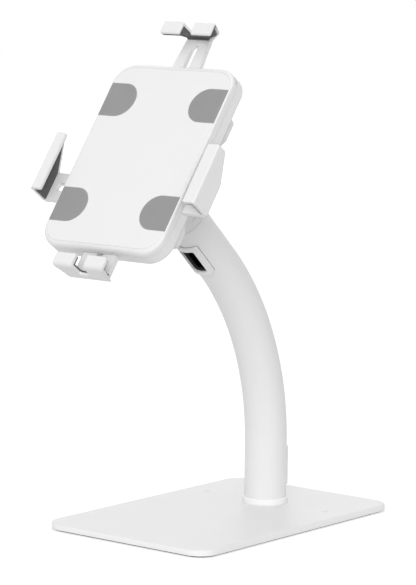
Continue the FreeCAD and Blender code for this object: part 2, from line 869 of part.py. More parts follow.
def centre_arm(reach, half_hook, half_body, taper, inner, wall_points, corner_r):
    """Flat slotted arm along Y with a notched hook at its end."""
    top = reach - hook_wall
    start = reach - hook_neck
    outline = [(-half_body, inner), (half_body, inner), (half_body, start - taper), (half_hook, start)]
    outline += [(half_hook, top), (-half_hook, top), (-half_hook, start), (-half_body, start - taper)]
    plate = prism(outline, -arm_back, -arm_front)
    right = wall_points
    left = [(-x, z) for x, z in reversed(wall_points)]
    wall_face = Part.Face(polygon([V(x, top, z) for x, z in right + left]))
    upright = wall_face.extrude(V(0, hook_wall, 0))
    lip_mid = V(0, reach - lip_height / 2, 0)
    lip = rounded_slab(lip_half_span, lip_height / 2, corner_r, lip_front - lip_thick, lip_front, lip_mid)
    body = fuse_all([plate, upright, lip])
    slot_top = reach - hook_slot_margin
    slot_low = inner + arm_bridge
    low = -arm_back - over
    high = -arm_front + over
    ends = (slot_low + slot_half, slot_top - slot_half)
    tools = [notch_tool(reach), block(-slot_half, slot_half, ends[0], ends[1], low, high)]
    tools += [cylinder(slot_half, low, high, V(0, y, 0)) for y in ends]
    return cut_all(body, tools)


def notch_tool(reach):
    """Gap in the middle of a hook: through the lip and part of the way down the wall."""
    deep = lip_front - notch_wall_depth
    low = reach - lip_height - over
    half = [(notch_half, lip_front + over), (notch_half, deep + notch_taper)]
    half.append((notch_half - notch_taper, deep))
    points = half + [(-x, z) for x, z in reversed(half)]
    face = Part.Face(polygon([V(x, low, z) for x, z in points]))
    return face.extrude(V(0, lip_height + 2 * over, 0))


def centre_hook_wall(back_half, mid_half, mid_back):
    """Half outline of a hook's wall, from the arm's back out to the lip."""
    return [(back_half, -arm_back), (mid_half, -mid_back), (lip_half_span, lip_front - lip_thick / 2),
            (lip_half_span, lip_front)]


def top_arm_shape():
    """Upper arm in the holder's frame."""
    points = centre_hook_wall(top_arm_half_hook, top_wall_mid_half, top_wall_mid_back)
    arm = centre_arm(top_reach, top_arm_half_hook, top_arm_half_body, top_arm_taper,
                     top_arm_inner, points, top_lip_corner_r)
    return soften_hook(arm, top_reach, top_root_r, top_bend_r)


def bottom_arm_shape():
    """Lower arm, drawn upwards like the upper one."""
    points = centre_hook_wall(bottom_wall_back_half, bottom_wall_mid_half, 0)
    arm = centre_arm(bottom_reach, bottom_arm_half, bottom_arm_half, top_arm_taper,
                     bottom_arm_inner, points, bottom_lip_corner_r)
    return soften_hook(arm, bottom_reach, bottom_bend_r, bottom_bend_r)


def soften_hook(arm, reach, root_radius, bend_radius):
    """Round the long outer edges of a hook's wall, at its back and at its lip."""
    back = edges_where(arm, lambda p: abs(p.y - reach) < same and abs(p.z + arm_back) < same)
    arm = arm.makeFillet(root_radius, back)
    front = edges_where(arm, lambda p: abs(p.y - reach) < same and abs(p.z - lip_front) < same)
    return arm.makeFillet(bend_radius, front)


def centre_liner(reach, back_half, mid_half, mid_back):
    """Rubber lining inside a centre hook: on the wall, behind the lip and over the arm's root."""
    top = reach - hook_wall
    front = lip_front - lip_thick
    root_half = back_half - liner_inset
    lip_half = lip_half_span - liner_inset
    points = [(root_half, -arm_front), (mid_half - liner_inset, liner_inset - mid_back), (lip_half, front)]
    left = [(-x, z) for x, z in reversed(points)]
    wall_face = Part.Face(polygon([V(x, top - liner_thick, z) for x, z in points + left]))
    on_wall = wall_face.extrude(V(0, liner_thick, 0))
    on_lip = block(-lip_half, lip_half, reach - lip_height + liner_inset, top, front - liner_thick, front)
    root = block(-root_half, root_half, top - liner_thick * 2, top, -arm_front, -arm_front + liner_thick)
    return fuse_all([on_wall, on_lip, root]).cut(notch_tool(reach))


def turned_down(shape):
    """Half turn in the face's plane, from the top of the holder to its bottom."""
    turned = shape.copy()
    turned.rotate(V(0, 0, 0), UP, 180)
    return turned


def side_hook_outline():
    """Wall of the right hook in Y and Z: full depth beside the arm, tapering up to the lip's top."""
    points = [(side_low, lip_front), (side_low, -arm_back + side_low_chamfer)]
    points += [(side_low + side_low_chamfer, -arm_back), (side_high, -arm_back)]
    points += [(side_lip_top - side_top_slant, side_wall_top_back)]
    return points + [(side_lip_top, side_wall_top_back + side_top_step), (side_lip_top, lip_front)]


def side_hook():
    """Hook at the end of the right arm: wall, bevelled lip and a short root."""
    upright = side_prism(side_hook_outline(), side_reach - hook_wall, side_reach)
    lip_mid = V(side_reach - side_lip_width / 2, (side_low + side_lip_top) / 2, 0)
    lip = rounded_slab(side_lip_width / 2, (side_lip_top - side_low) / 2, top_lip_corner_r,
                       lip_front - lip_thick, lip_front, lip_mid)
    body = upright.fuse(lip).removeSplitter()
    out = side_reach + over
    front = lip_front + over
    bevel = side_edge_bevel + 2 * over
    corner = [(out, front - bevel), (out, front), (out - bevel, front)]
    face = Part.Face(polygon([V(x, side_low - over, z) for x, z in corner]))
    body = body.cut(face.extrude(V(0, side_lip_top - side_low + 2 * over, 0)))
    back = edges_where(body, lambda p: abs(p.x - side_reach) < same and abs(p.z + arm_back) < same)
    return body.makeFillet(side_root_r, back)


def rack_cutter(sign):
    """Gaps between rack teeth on one side of the pinion, with a gap at the middle."""
    pitch = math.pi * gear_module
    tip = sign * (pitch_r - gear_module)
    root = sign * (pitch_r + gear_module * root_share)
    lean = math.tan(math.radians(pressure_angle))
    wide = pitch / 4 + gear_module * lean + tooth_play / 2
    narrow = pitch / 4 - gear_module * root_share * lean + tooth_play / 2
    gaps = []
    for number in range(rack_tooth_count + 1):
        middle = (number - rack_tooth_count / 2 - 1) * pitch
        right = [(middle + wide, tip - sign * side_gap), (middle + wide, tip), (middle + narrow, root)]
        left = [(2 * middle - x, y) for x, y in reversed(right)]
        outline = [(x, side_arm_mid + y) for x, y in right + left]
        gaps.append(prism(outline, -arm_back - over, -arm_front + over))
    return Part.makeCompound(gaps)


def right_rails(long_is_low):
    """Slotted plate of the right arm: one long toothed rail and one short plain rail."""
    outer = side_reach - hook_wall / 2
    low_start = side_rail_inner if long_is_low else short_rail_inner
    high_start = short_rail_inner if long_is_low else side_rail_inner
    slot_low = side_arm_mid - slot_half
    slot_high = side_arm_mid + slot_half
    slot_round = side_slot_end - slot_half
    low_rail = block(low_start, outer, side_low, slot_low, -arm_back, -arm_front)
    high_rail = block(high_start, outer, slot_high, side_high, -arm_back, -arm_front)
    end_block = block(slot_round, outer, slot_low, slot_high, -arm_back, -arm_front)
    plate = fuse_all([low_rail, high_rail, end_block])
    round_end = cylinder(slot_half, -arm_back - over, -arm_front + over, V(slot_round, side_arm_mid, 0))
    return plate.cut(round_end)


def side_arm(left):
    """Left or right arm with its hook; the left one is the right one mirrored, but with its rack above."""
    rails = right_rails(not left)
    rails = rails.cut(rack_cutter(1 if left else -1))
    arm = fuse_all([rails, side_hook()])
    return in_holder(mirrored(arm) if left else arm)


def side_liner(left):
    """Rubber lining of a side hook: on the wall and behind the lip."""
    low = side_low + liner_end_gap
    high = side_lip_top - liner_inset
    front = lip_front - lip_thick
    inner = side_reach - hook_wall - liner_thick
    outline = [(low, front), (low, -arm_front), (side_high - liner_inset, -arm_front)]
    outline += [(side_lip_top - side_liner_slant, side_wall_top_back + side_liner_slant), (high, front)]
    on_wall = side_prism(outline, inner, inner + liner_thick)
    lip_inner = side_reach - side_lip_width + liner_inset
    on_lip = block(lip_inner, inner + liner_thick, low, high, front - liner_thick, front)
    pad = fuse_all([on_wall, on_lip])
    return in_holder(mirrored(pad) if left else pad)


def tooth_flank():
    """Radius and half angle along one flank of a tooth, from root to tip."""
    pressure = math.radians(pressure_angle)
    base_r = pitch_r * math.cos(pressure)
    root_r = pitch_r - gear_module * pinion_root_share
    tip_r = pitch_r + gear_module * tip_share
    half_tooth = math.pi / (2 * pinion_teeth) - tooth_play / (2 * pitch_r)
    start_r = max(base_r, root_r)
    flank = []
    for step in range(flank_steps + 1):
        radius = start_r + (tip_r - start_r) * step / flank_steps
        roll = math.acos(min(1.0, base_r / radius))
        flank.append((radius, half_tooth + math.tan(pressure) - pressure - (math.tan(roll) - roll)))
    return [(root_r, flank[0][1])] + flank


def drive_pinion():
    """Small gear between the two racks, with involute flanks."""
    flank = tooth_flank()
    points = []
    for tooth in range(pinion_teeth):
        middle = math.pi / 2 + 2 * math.pi * tooth / pinion_teeth
        points += [(r, middle - a) for r, a in flank]
        points += [(r, middle + a) for r, a in reversed(flank)]
    outline = [(r * math.cos(a), side_arm_mid + r * math.sin(a)) for r, a in points]
    gear = prism(outline, -arm_back, -arm_front - pinion_front_gap)
    return in_holder(gear.cut(cylinder(pinion_post_r + running_gap, -arm_back - over, 0, pinion_mid)))


# Clamp and lock

def clamp_plate():
    """Plate behind the arms that the lock presses forward."""
    half = (clamp_top - clamp_bottom) / 2
    middle = V(0, (clamp_top + clamp_bottom) / 2, 0)
    plate = rounded_slab(clamp_half, half, clamp_corner_r, -clamp_back, -clamp_front, middle)
    low = -clamp_back - over
    high = -clamp_front + over
    holes = [cylinder(pinion_post_r + post_room, low, high, pinion_mid)]
    holes += [cylinder(peg_r + peg_gap, low, high, place) for place in pegs]
    return in_holder(cut_all(plate, holes))


def lock_barrel():
    """Fixed housing of the key lock."""
    front = -cover_face - lock_flange_proud
    body = cylinder(barrel_lock_r, -cover_face, -floor_top, lock_mid)
    flange = cylinder(lock_flange_r, front, -cover_face, lock_mid)
    bore = cylinder(plug_r + running_gap, front - over, 0, lock_mid)
    return in_holder(body.fuse(flange).removeSplitter().cut(bore))


def lock_plug():
    """Turning core of the lock with its key slot."""
    front = -cover_face - lock_flange_proud
    core = cylinder(plug_r, front, -floor_top, lock_mid)
    slot_low = lock_up - key_slot_length / 2
    slot_high = lock_up + key_slot_length / 2
    slot = block(-key_slot_half, key_slot_half, slot_low, slot_high, front - over, front + key_slot_depth)
    return in_holder(core.cut(slot))


def lock_cam():
    """Cam on the inner end of the core."""
    low = -floor_top + cam_gap
    return in_holder(rounded_slab(cam_length / 2, cam_half, cam_corner_r, low, low + cam_thick, lock_mid))


def lock_nut():
    """Nut that holds the lock's housing in the rear cover."""
    low = -cover_inside
    nut = hexagon(lock_nut_flats, low, low + lock_nut_height, lock_mid)
    bore = cylinder(barrel_lock_r + screw_gap, low - over, low + lock_nut_height + over, lock_mid)
    return in_holder(nut.cut(bore))


save("base_plate", base_plate())
save("base_pad", base_pad())
save("column_foot_plug", column_foot_plug())
save("column_bolt", column_bolt())
save("column_tube", column_tube())
save("column_ring", column_ring())
save("lower_cable_grommet", cable_frame(False))
save("upper_cable_grommet", cable_frame(True))
save("column_end_fork", column_end_fork())
save("fork_screws", fork_screws())
save("tilt_bolt", tilt_bolt())
save("tilt_nut", tilt_nut())
save("tilt_washers", tilt_washers())
save("tilt_knuckle", tilt_knuckle())
save("swivel_washer", swivel_washer())
save("swivel_nut", swivel_nut())
save("rear_cover", rear_cover())
save("case_screws", case_screw_set())
save("rear_shell", rear_shell())
save("front_shell", front_shell())
save("face_pads", face_pads())
save("top_arm", in_holder(top_arm_shape()))
save("bottom_arm", in_holder(turned_down(bottom_arm_shape())))
save("left_arm", side_arm(True))
save("right_arm", side_arm(False))
top_liner = centre_liner(top_reach, top_arm_half_hook, top_wall_mid_half, top_wall_mid_back)
save("top_arm_pad", in_holder(top_liner))
bottom_liner = centre_liner(bottom_reach, bottom_wall_back_half, bottom_wall_mid_half, 0)
save("bottom_arm_pad", in_holder(turned_down(bottom_liner)))
save("left_arm_pad", side_liner(True))
save("right_arm_pad", side_liner(False))
save("drive_pinion", drive_pinion())
save("clamp_plate", clamp_plate())
save("lock_barrel", lock_barrel())
save("lock_plug", lock_plug())
save("lock_cam", lock_cam())
save("lock_nut", lock_nut())
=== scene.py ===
"""Looks of a lockable tablet desk stand, laid out as an add-on and run as a script.

Metres, +Z up, the front of the stand towards -Y. Pieces of the holder are worked out in the
holder's own frame: to the right, up the face and out of the face, with zero on the face's middle.
"""

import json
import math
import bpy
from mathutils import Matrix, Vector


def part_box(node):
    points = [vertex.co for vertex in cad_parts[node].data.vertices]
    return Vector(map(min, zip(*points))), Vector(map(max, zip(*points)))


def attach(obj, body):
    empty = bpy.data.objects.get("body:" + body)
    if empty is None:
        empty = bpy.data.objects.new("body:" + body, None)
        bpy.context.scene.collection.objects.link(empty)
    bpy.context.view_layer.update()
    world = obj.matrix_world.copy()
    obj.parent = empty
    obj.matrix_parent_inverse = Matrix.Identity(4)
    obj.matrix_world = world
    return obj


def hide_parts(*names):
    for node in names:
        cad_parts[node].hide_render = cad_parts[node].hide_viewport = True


bl_info = {
    "name": "Tablet Desk Stand",
    "version": (1, 0, 0),
    "blender": (4, 5, 0),
    "location": "3D View > Sidebar > Desk Stand",
    "description": "Casing, pads, linings and finishes of a tablet desk stand",
    "category": "Object",
}

import bmesh
import bpy
import numpy as np
from mathutils import Matrix, Vector, geometry

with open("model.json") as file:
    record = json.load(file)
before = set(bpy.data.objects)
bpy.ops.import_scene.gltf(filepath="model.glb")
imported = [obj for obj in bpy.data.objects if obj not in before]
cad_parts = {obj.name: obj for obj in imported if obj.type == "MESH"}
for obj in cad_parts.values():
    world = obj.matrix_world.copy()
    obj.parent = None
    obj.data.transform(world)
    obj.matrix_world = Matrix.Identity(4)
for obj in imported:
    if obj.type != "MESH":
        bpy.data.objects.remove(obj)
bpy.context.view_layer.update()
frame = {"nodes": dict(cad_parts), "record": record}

MM = 0.001
QUARTER = math.pi / 2

# Points along the rounded shapes
CASING_STEPS = 46    # corner of the front casing
EDGE_STEPS = 16      # section of its rounded edge
GROOVE_STEPS = 8     # section of the line round the face
PAD_STEPS = 40       # arc of a face pad
PAD_EDGE_STEPS = 8   # section of its front edge
CROWN_STEPS = 6      # its crown, from the rim inwards
SHEET_STEPS = 14     # corner of the base sheet
HOLE_STEPS = 32      # hole of the base sheet
SMALL_STEPS = 5      # section of the smallest roundings

# Front casing and face pads
SLOT_ANGLE = math.radians(45.0)   # middle of the pry slot on the corner's arc
FLAT_RING = 0.2 * MM              # flat strip inside the line round the face
PAD_CORNER = 1.0 * MM             # corners at a pad's outer side
PAD_ROOT = -0.4 * MM              # underside of a pad, in its recess
CROWN_REACH = 0.9                 # how far towards a pad's middle its crown has rings

# Base sheet
SHEET_CORNER = 17.0 * MM
SHEET_HOLES = ((0.0, 70.0 * MM, 12.0 * MM),   # across, back and radius
               (75.0 * MM, 70.0 * MM, 5.0 * MM), (-75.0 * MM, 70.0 * MM, 5.0 * MM))

# Linings and the top arm, in millimetres of the holder's frame
PLATE_LEVEL = -9.0          # front of the arms' plates
LIP_LEVEL = 9.3             # back of the hooks' lips
HOOK_WALL = 3.0             # thickness of a hook's wall
ROOT_RUN = 3.6              # how far a lining lies on the arm's plate
GAP_LEVELS = (-3.5, -1.9)   # where the gap between two hooks widens
GAP_HALVES = (5.4, 7.0)     # half its width below and above
LIP_HALF = 29.3             # half the lining's width behind the top and bottom lips
SIDE_WALL = 97.0            # inside of a side hook's wall
SIDE_LIP_END = 88.2         # where its lip ends
SIDE_LOW = -50.3            # low end of its lining
SIDE_HIGH = ((PLATE_LEVEL, -21.7), (3.2, 9.0), (LIP_LEVEL, 10.8))   # high end by level
TOP_HOOK_START = 120.0      # the top arm's hook in front of its plate
TOP_SLOT_END = 131.5        # end of the slot in the top arm's plate
SAME_POINT = 0.01 * MM            # nearer points are one
SAME_FACE = math.radians(0.6)     # triangles that turn less are one face
SHARP_EDGE = math.radians(35.0)   # an edge that turns more is sharp

# Finish and stage
PAINTED_EDGE_HIGHLIGHT = 1.12         # brightness of a painted highlight on an edge, over its coat's
EDGE_GLOSS = 0.12        # how much smoother it is
TUBE_INSIDE = 19.9 * MM  # from the tube's middle line to where the painted shade of its inside begins
FRAME_WAY = 21.4 * MM    # the same for the cable frames
FLOOR_LIGHT, FLOOR_DARK = (0.56,) * 3, (0.54,) * 3
FLOOR_HALF, FLOOR_LINES = 6.0, 13
LAMP_SIZE = 3.0
LAMP_AIM = (0.0, -0.05, 0.2)
KEY_PLACE = (3.25, -4.88, 1.75)
BACK_PLACE = (-3.4, 4.1, 2.6)
WHITE = (1.0, 1.0, 1.0, 1.0)


# The holder's frame, from the face that carries the tablet

def face_mount():
    """Middle of the holder's face and the holder's right, up and out directions as rows."""
    mount = next(m for m in frame["record"]["mounts"] if m["name"] == "tablet_face")
    out = np.array(mount["axis"], float)
    right = np.array([1.0, 0.0, 0.0])
    return np.array(mount["pos_m"], float), np.stack([right, np.cross(out, right), out])


FACE_MIDDLE, FACE_AXES = face_mount()


def from_holder(points):
    """The stand's points for the holder's: the face's middle plus each step along its axis."""
    return FACE_MIDDLE + points @ FACE_AXES


def to_holder(points):
    """The holder's points for the stand's: the steps from the face's middle along each axis."""
    return (points - FACE_MIDDLE) @ FACE_AXES.T


def gathered(items, field, width=1, kind=float):
    """One field of all items of a mesh, with a row for each item where the field is wide."""
    values = np.empty(len(items) * width, kind)
    items.foreach_get(field, values)
    return values if width == 1 else values.reshape(-1, width)


def holder_box(node):
    """Lowest and highest corner of a part's points, measured in the holder's frame."""
    inside = to_holder(gathered(frame["nodes"][node].data.vertices, "co", 3))
    return inside.min(axis=0), inside.max(axis=0)


CASING_LOW, CASING_HIGH = holder_box("front_shell")
PADS_HIGH = holder_box("face_pads")[1]


# What a user may change

def number(name, description, default, **more):
    """Number for the sidebar."""
    return bpy.props.FloatProperty(name=name, description=description, default=default, **more)


def metres(name, description, default):
    """Length for the sidebar."""
    return number(name, description, default, unit="LENGTH", subtype="DISTANCE", precision=5)


def degrees(name, description, default):
    """Angle for the sidebar."""
    return number(name, description, math.radians(default), subtype="ANGLE", precision=4)


def tint(name, description, default):
    """Colour for the sidebar."""
    return bpy.props.FloatVectorProperty(name=name, description=description, default=default,
                                         subtype="COLOR", min=0.0, max=1.0)


class StandSizes(bpy.types.PropertyGroup):
    """Sizes of the pieces that this file makes."""
    corner_radius: metres("Corner radius", "Radius of the holder's corners", 22.0 * MM)
    edge_depth: metres("Edge depth", "Depth of the rounded edge, long sides", 2.3 * MM)
    edge_depth_ends: metres("Edge depth, ends", "The same at top and bottom", 4.8 * MM)
    edge_width: metres("Edge width", "Width of the rounded edge, long sides", 1.6 * MM)
    edge_width_ends: metres("Edge width, ends", "The same at top and bottom", 4.4 * MM)
    casing_wall: metres("Casing wall", "Thickness of the moulded casing", 2.2 * MM)
    parting_break: metres("Parting break", "Rounding where the casings meet", 0.55 * MM)
    slot_length: metres("Pry slot length", "Slot on the upper right corner", 17.0 * MM)
    slot_height: metres("Pry slot height", "Height of that slot", 2.6 * MM)
    groove_width: metres("Groove width", "Width of the line round the face", 0.9 * MM)
    groove_depth: metres("Groove depth", "Depth of the line round the face", 0.8 * MM)
    pad_height: metres("Pad height", "Size of a face pad up the face", 37.1 * MM)
    pad_width: metres("Pad width", "Size of a face pad across the face", 37.35 * MM)
    pad_low: metres("Low pads", "Height of the low pads on the face", -57.6 * MM)
    pad_high: metres("High pads", "Height of the high pads on the face", 59.56 * MM)
    pad_edge: metres("Pad edge", "Rounding of a pad's front edge", 0.9 * MM)
    pad_crown: metres("Pad crown", "Rise of a pad's middle over its rim", 0.08 * MM)
    hook_edge: metres("Hook edge", "Rounding of the top hook's outer edges", 1.1 * MM)
    lining_thickness: metres("Lining thickness", "Rubber in the hooks", 1.8 * MM)
    lining_edge: metres("Lining edge", "Rounding of the rubber's edges", 0.45 * MM)
    sheet_edge: metres("Base sheet edge", "Rounding of the soft sheet", 0.35 * MM)


class StandColours(bpy.types.PropertyGroup):
    """Colours of the finishes."""
    steel_paint: tint("Steel paint", "Coat of the base and the hinge", (0.80,) * 3)
    # painted light: the column's coat is a lighter copy of the base's steel coat, making up for
    # light the column lacks
    column_paint_and_painted_light: tint("Column paint", "Coat of the bent tube, lightened as painted light", (0.825,) * 3)
    # painted highlight: a lighter colour for the base's upright sides, which catch more light than
    # its top
    base_side_highlight: tint("Base edge", "Painted highlight on the base's sides", (0.93,) * 3)
    collar_white: tint("Collar white", "Collar round the column's foot", (0.92,) * 3)
    arm_paint: tint("Arm paint", "Coat of the four arms", (0.83,) * 3)
    casing_white: tint("Casing white", "Plastic of the holder", (0.84,) * 3)
    pad_grey: tint("Pad grey", "Rubber pads on the face", (0.30,) * 3)
    lining_grey: tint("Lining grey", "Rubber linings in the hooks", (0.10,) * 3)
    # painted shade: the cable frames' necks are coloured dark for the shade inside them
    neck_painted_shade: tint("Cable way", "Inside of the cable frames", (0.045,) * 3)
    foam_dark: tint("Base sheet", "Soft sheet under the base", (0.10,) * 3)
    # painted shade: the tube's inside is coloured almost black for the shade that falls in it
    bore_painted_shade: tint("Inside of the column", "Painted shade in the tube", (0.012,) * 3)
    zinc: tint("Zinc", "Plated screws, nuts and inner steel", (0.60, 0.60, 0.61))
    chrome: tint("Chrome", "The key lock", (0.78, 0.78, 0.79))
    nylon: tint("Nylon", "Washers of the hinges", (0.66, 0.64, 0.58))


class StandStage(bpy.types.PropertyGroup):
    """Camera and light."""
    turn: degrees("Turn", "Camera's turn to the right of the front", 39.102480)
    rise: degrees("Rise", "Camera's angle above the desk", 7.716276)
    roll: degrees("Roll", "Camera's roll", 0.623640)
    distance: metres("Distance", "From the camera to the point in its aim", 2.814318)
    aim_aside: metres("Aim aside", "The aim's shift to the camera's right", -0.015317)
    aim_height: metres("Aim height", "The aim's height over the desk", 0.225140)
    lens: number("Lens", "Focal length", 177.766, unit="CAMERA", precision=3)
    sky: number("Sky", "Strength of the light from all round", 0.34)
    sky_top: number("Sky, overhead", "Light from straight above, over the sky's", 0.69)
    key: number("Key", "Power of the large soft box in front", 175.0, unit="POWER")
    back: number("Back", "Power of the soft box behind", 85.0, unit="POWER")
    floor_lift: number("Floor lift", "Light added to the floor's picture", 0.56)


def settings():
    """The three groups of values on the scene."""
    scene = bpy.context.scene
    return scene.stand_sizes, scene.stand_colours, scene.stand_stage


# Meshes from arrays

def grid_faces(rows, columns, wrap):
    """Faces of a grid: each joins a point to its neighbours in the next column and row."""
    here = np.arange(rows * columns).reshape(rows, columns)
    beside = np.roll(here, -1, axis=1)
    if not wrap:
        here, beside = here[:, :-1], beside[:, :-1]
    return np.stack([here[:-1], beside[:-1], beside[1:], here[1:]], axis=-1).reshape(-1, 4)


def outline_rings(corners, inset, level, steps, drawn=0.0):
    """Rings of a closed outline of arcs joined by straight runs, one ring for each level.

    A corner is its arc's centre, radius, first angle and turn. A point is the centre plus the
    radius less the inset, times the cosine and sine of its angle. What is drawn moves the centres
    up or down towards the middle, for an outline whose ends are drawn in further than its sides.
    """
    x, y, radius, first, turn = (column[None, :, None] for column in np.array(corners, float).T)
    inset, level, drawn = (np.reshape(values, (-1, 1, 1)) for values in (inset, level, drawn))
    angle = first + turn * np.linspace(0.0, 1.0, steps)
    across = x + (radius - inset) * np.cos(angle)
    upward = y - np.sign(y) * drawn + (radius - inset) * np.sin(angle)
    points = np.stack(np.broadcast_arrays(across, upward, level), axis=-1)
    return points.reshape(len(points), -1, 3)


def rectangle_corners(half_x, half_y, radius):
    """The four quarter arcs of a rectangle with round corners."""
    x, y = half_x - radius, half_y - radius
    centres = ((x, y), (-x, y), (-x, -y), (x, -y))
    return [(*centre, radius, turn * QUARTER, QUARTER) for turn, centre in enumerate(centres)]


def quarter_round(width, depth, steps):
    """Inset and drop along a quarter ellipse, from the side wall up to the flat on top."""
    angle = np.linspace(0.0, QUARTER, steps)
    return width * (1 - np.cos(angle)), -depth * (1 - np.sin(angle))


def array_mesh(name, points, faces):
    """Mesh of an array of points and a list of faces."""
    mesh = bpy.data.meshes.new(name)
    mesh.from_pydata(points.reshape(-1, 3).tolist(), [], faces)
    return mesh


def linked(name, data):
    """Object of a mesh, light or camera in the scene."""
    made = bpy.data.objects.new(name, data)
    bpy.context.scene.collection.objects.link(made)
    return made


def riding(name, mesh, body):
    """Object that rides on a body of the stand."""
    piece = linked(name, mesh)
    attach(piece, body)
    return piece


def new_piece(name, points, faces, material, body, sharp):
    """Closed piece from arrays, with its faces turned outwards."""
    mesh = array_mesh(name, points, faces)
    shape = bmesh.new()
    shape.from_mesh(mesh)
    bmesh.ops.recalc_face_normals(shape, faces=shape.faces)
    shape.to_mesh(mesh)
    shape.free()
    mesh.shade_smooth()
    mesh.set_sharp_from_angle(angle=math.radians(sharp))
    mesh.materials.append(material)
    return riding(name, mesh, body)


def modifier(piece, name, kind, **values):
    """New modifier with its values."""
    made = piece.modifiers.new(name, kind)
    for key, value in values.items():
        setattr(made, key, value)


# Node helpers

def fill(tree, node, inputs):
    """Sets each input of a node, or links it where its value is another node's socket."""
    for key, value in inputs.items():
        if isinstance(value, bpy.types.NodeSocket):
            tree.links.new(value, node.inputs[key])
        else:
            node.inputs[key].default_value = value
    return node


def add(tree, kind, inputs, **traits):
    """New node with its traits and inputs."""
    made = tree.nodes.new(kind)
    for key, value in traits.items():
        setattr(made, key, value)
    return fill(tree, made, inputs)


def calc(tree, operation, first, second=0.0, third=0.0, **traits):
    """Output of one sum."""
    inputs = {0: first, 1: second, 2: third}
    return add(tree, "ShaderNodeMath", inputs, operation=operation, **traits).outputs[0]


def dot(tree, first, second):
    """How far two directions agree."""
    made = add(tree, "ShaderNodeVectorMath", {0: first, 1: second}, operation="DOT_PRODUCT")
    return made.outputs["Value"]


def ranged(tree, value, start, end, low=0.0, high=1.0):
    """A value that goes from low to high, carried to the way from start to end."""
    made = add(tree, "ShaderNodeMapRange", {"Value": value, "From Min": low, "From Max": high,
                                            "To Min": start, "To Max": end})
    return made.outputs["Result"]


def blend(tree, share, first, second):
    """Colour on the way from the first to the second."""
    made = add(tree, "ShaderNodeMix", {0: share, 6: first, 7: second}, data_type="RGBA")
    return made.outputs[2]


def between(tree, share, first, second):
    """Number on the way from the first to the second."""
    made = add(tree, "ShaderNodeMix", {0: share, 2: first, 3: second}, data_type="FLOAT")
    return made.outputs[0]


def noise(tree, vector, scale, detail):
    """Noise between nought and one."""
    inputs = {"Vector": vector, "Scale": scale, "Detail": detail}
    return add(tree, "ShaderNodeTexNoise", inputs).outputs["Fac"]


def soft_normal(tree, radius):
    """Normal that turns round an edge as if the edge were rounded."""
    return add(tree, "ShaderNodeBevel", {"Radius": radius}, samples=4).outputs["Normal"]


def node_group(name, inputs, outputs):
    """Empty node group with named sockets, the input node's sockets and the output node."""
    tree = bpy.data.node_groups.new(name, "ShaderNodeTree")
    for label, kind, value in inputs:
        socket = tree.interface.new_socket(name=label, in_out="INPUT", socket_type=kind)
        if value is not None:
            socket.default_value = value
    for label, kind in outputs:
        tree.interface.new_socket(name=label, in_out="OUTPUT", socket_type=kind)
    return tree, tree.nodes.new("NodeGroupInput").outputs, tree.nodes.new("NodeGroupOutput")


def surface_texture_group(name):
    """Fine grain and a broader waviness of a coated or moulded surface, as a bumped normal."""
    tree, given, result = node_group(
        name,
        [("Vector", "NodeSocketVector", None), ("Normal", "NodeSocketVector", None),
         ("Grain size", "NodeSocketFloat", 0.0004), ("Grain depth", "NodeSocketFloat", 0.000004),
         ("Wave size", "NodeSocketFloat", 0.002), ("Wave depth", "NodeSocketFloat", 0.00001)],
        [("Normal", "NodeSocketVector"), ("Height", "NodeSocketFloat")])
    grain, wave = (noise(tree, given["Vector"], calc(tree, "DIVIDE", 1.0, given[size]), detail)
                   for size, detail in (("Grain size", 2.0), ("Wave size", 1.0)))
    height = calc(tree, "ADD", calc(tree, "MULTIPLY", grain, given["Grain depth"]),
                  calc(tree, "MULTIPLY", wave, given["Wave depth"]))
    bump = add(tree, "ShaderNodeBump", {"Height": height, "Normal": given["Normal"],
                                        "Distance": 1.0})
    fill(tree, result, {"Normal": bump.outputs["Normal"], "Height": grain})
    return tree


def tone_group(name):
    """Slow drift of a colour over the surface, as two batches of pigment that never mix fully."""
    tree, given, result = node_group(
        name,
        [("Vector", "NodeSocketVector", None), ("Light", "NodeSocketColor", WHITE),
         ("Dark", "NodeSocketColor", (0.9, 0.9, 0.9, 1)), ("Patch size", "NodeSocketFloat", 0.05)],
        [("Color", "NodeSocketColor")])
    share = noise(tree, given["Vector"], calc(tree, "DIVIDE", 1.0, given["Patch size"]), 3.0)
    fill(tree, result, {"Color": blend(tree, share, given["Light"], given["Dark"])})
    return tree


def edge_group(name):
    """Mask of the edges: how far the rounded normal leans away from the flat one."""
    tree, given, result = node_group(
        name,
        [("Vector", "NodeSocketVector", None), ("Rounded normal", "NodeSocketVector", None),
         ("Strength", "NodeSocketFloat", 4.0)],
        [("Mask", "NodeSocketFloat")])
    flat = add(tree, "ShaderNodeNewGeometry", {}).outputs["Normal"]
    away = calc(tree, "SUBTRACT", 1.0, dot(tree, given["Rounded normal"], flat))
    rough = calc(tree, "MULTIPLY", away, noise(tree, given["Vector"], 300.0, 3.0))
    mask = calc(tree, "MULTIPLY", rough, given["Strength"], use_clamp=True)
    fill(tree, result, {"Mask": mask})
    return tree


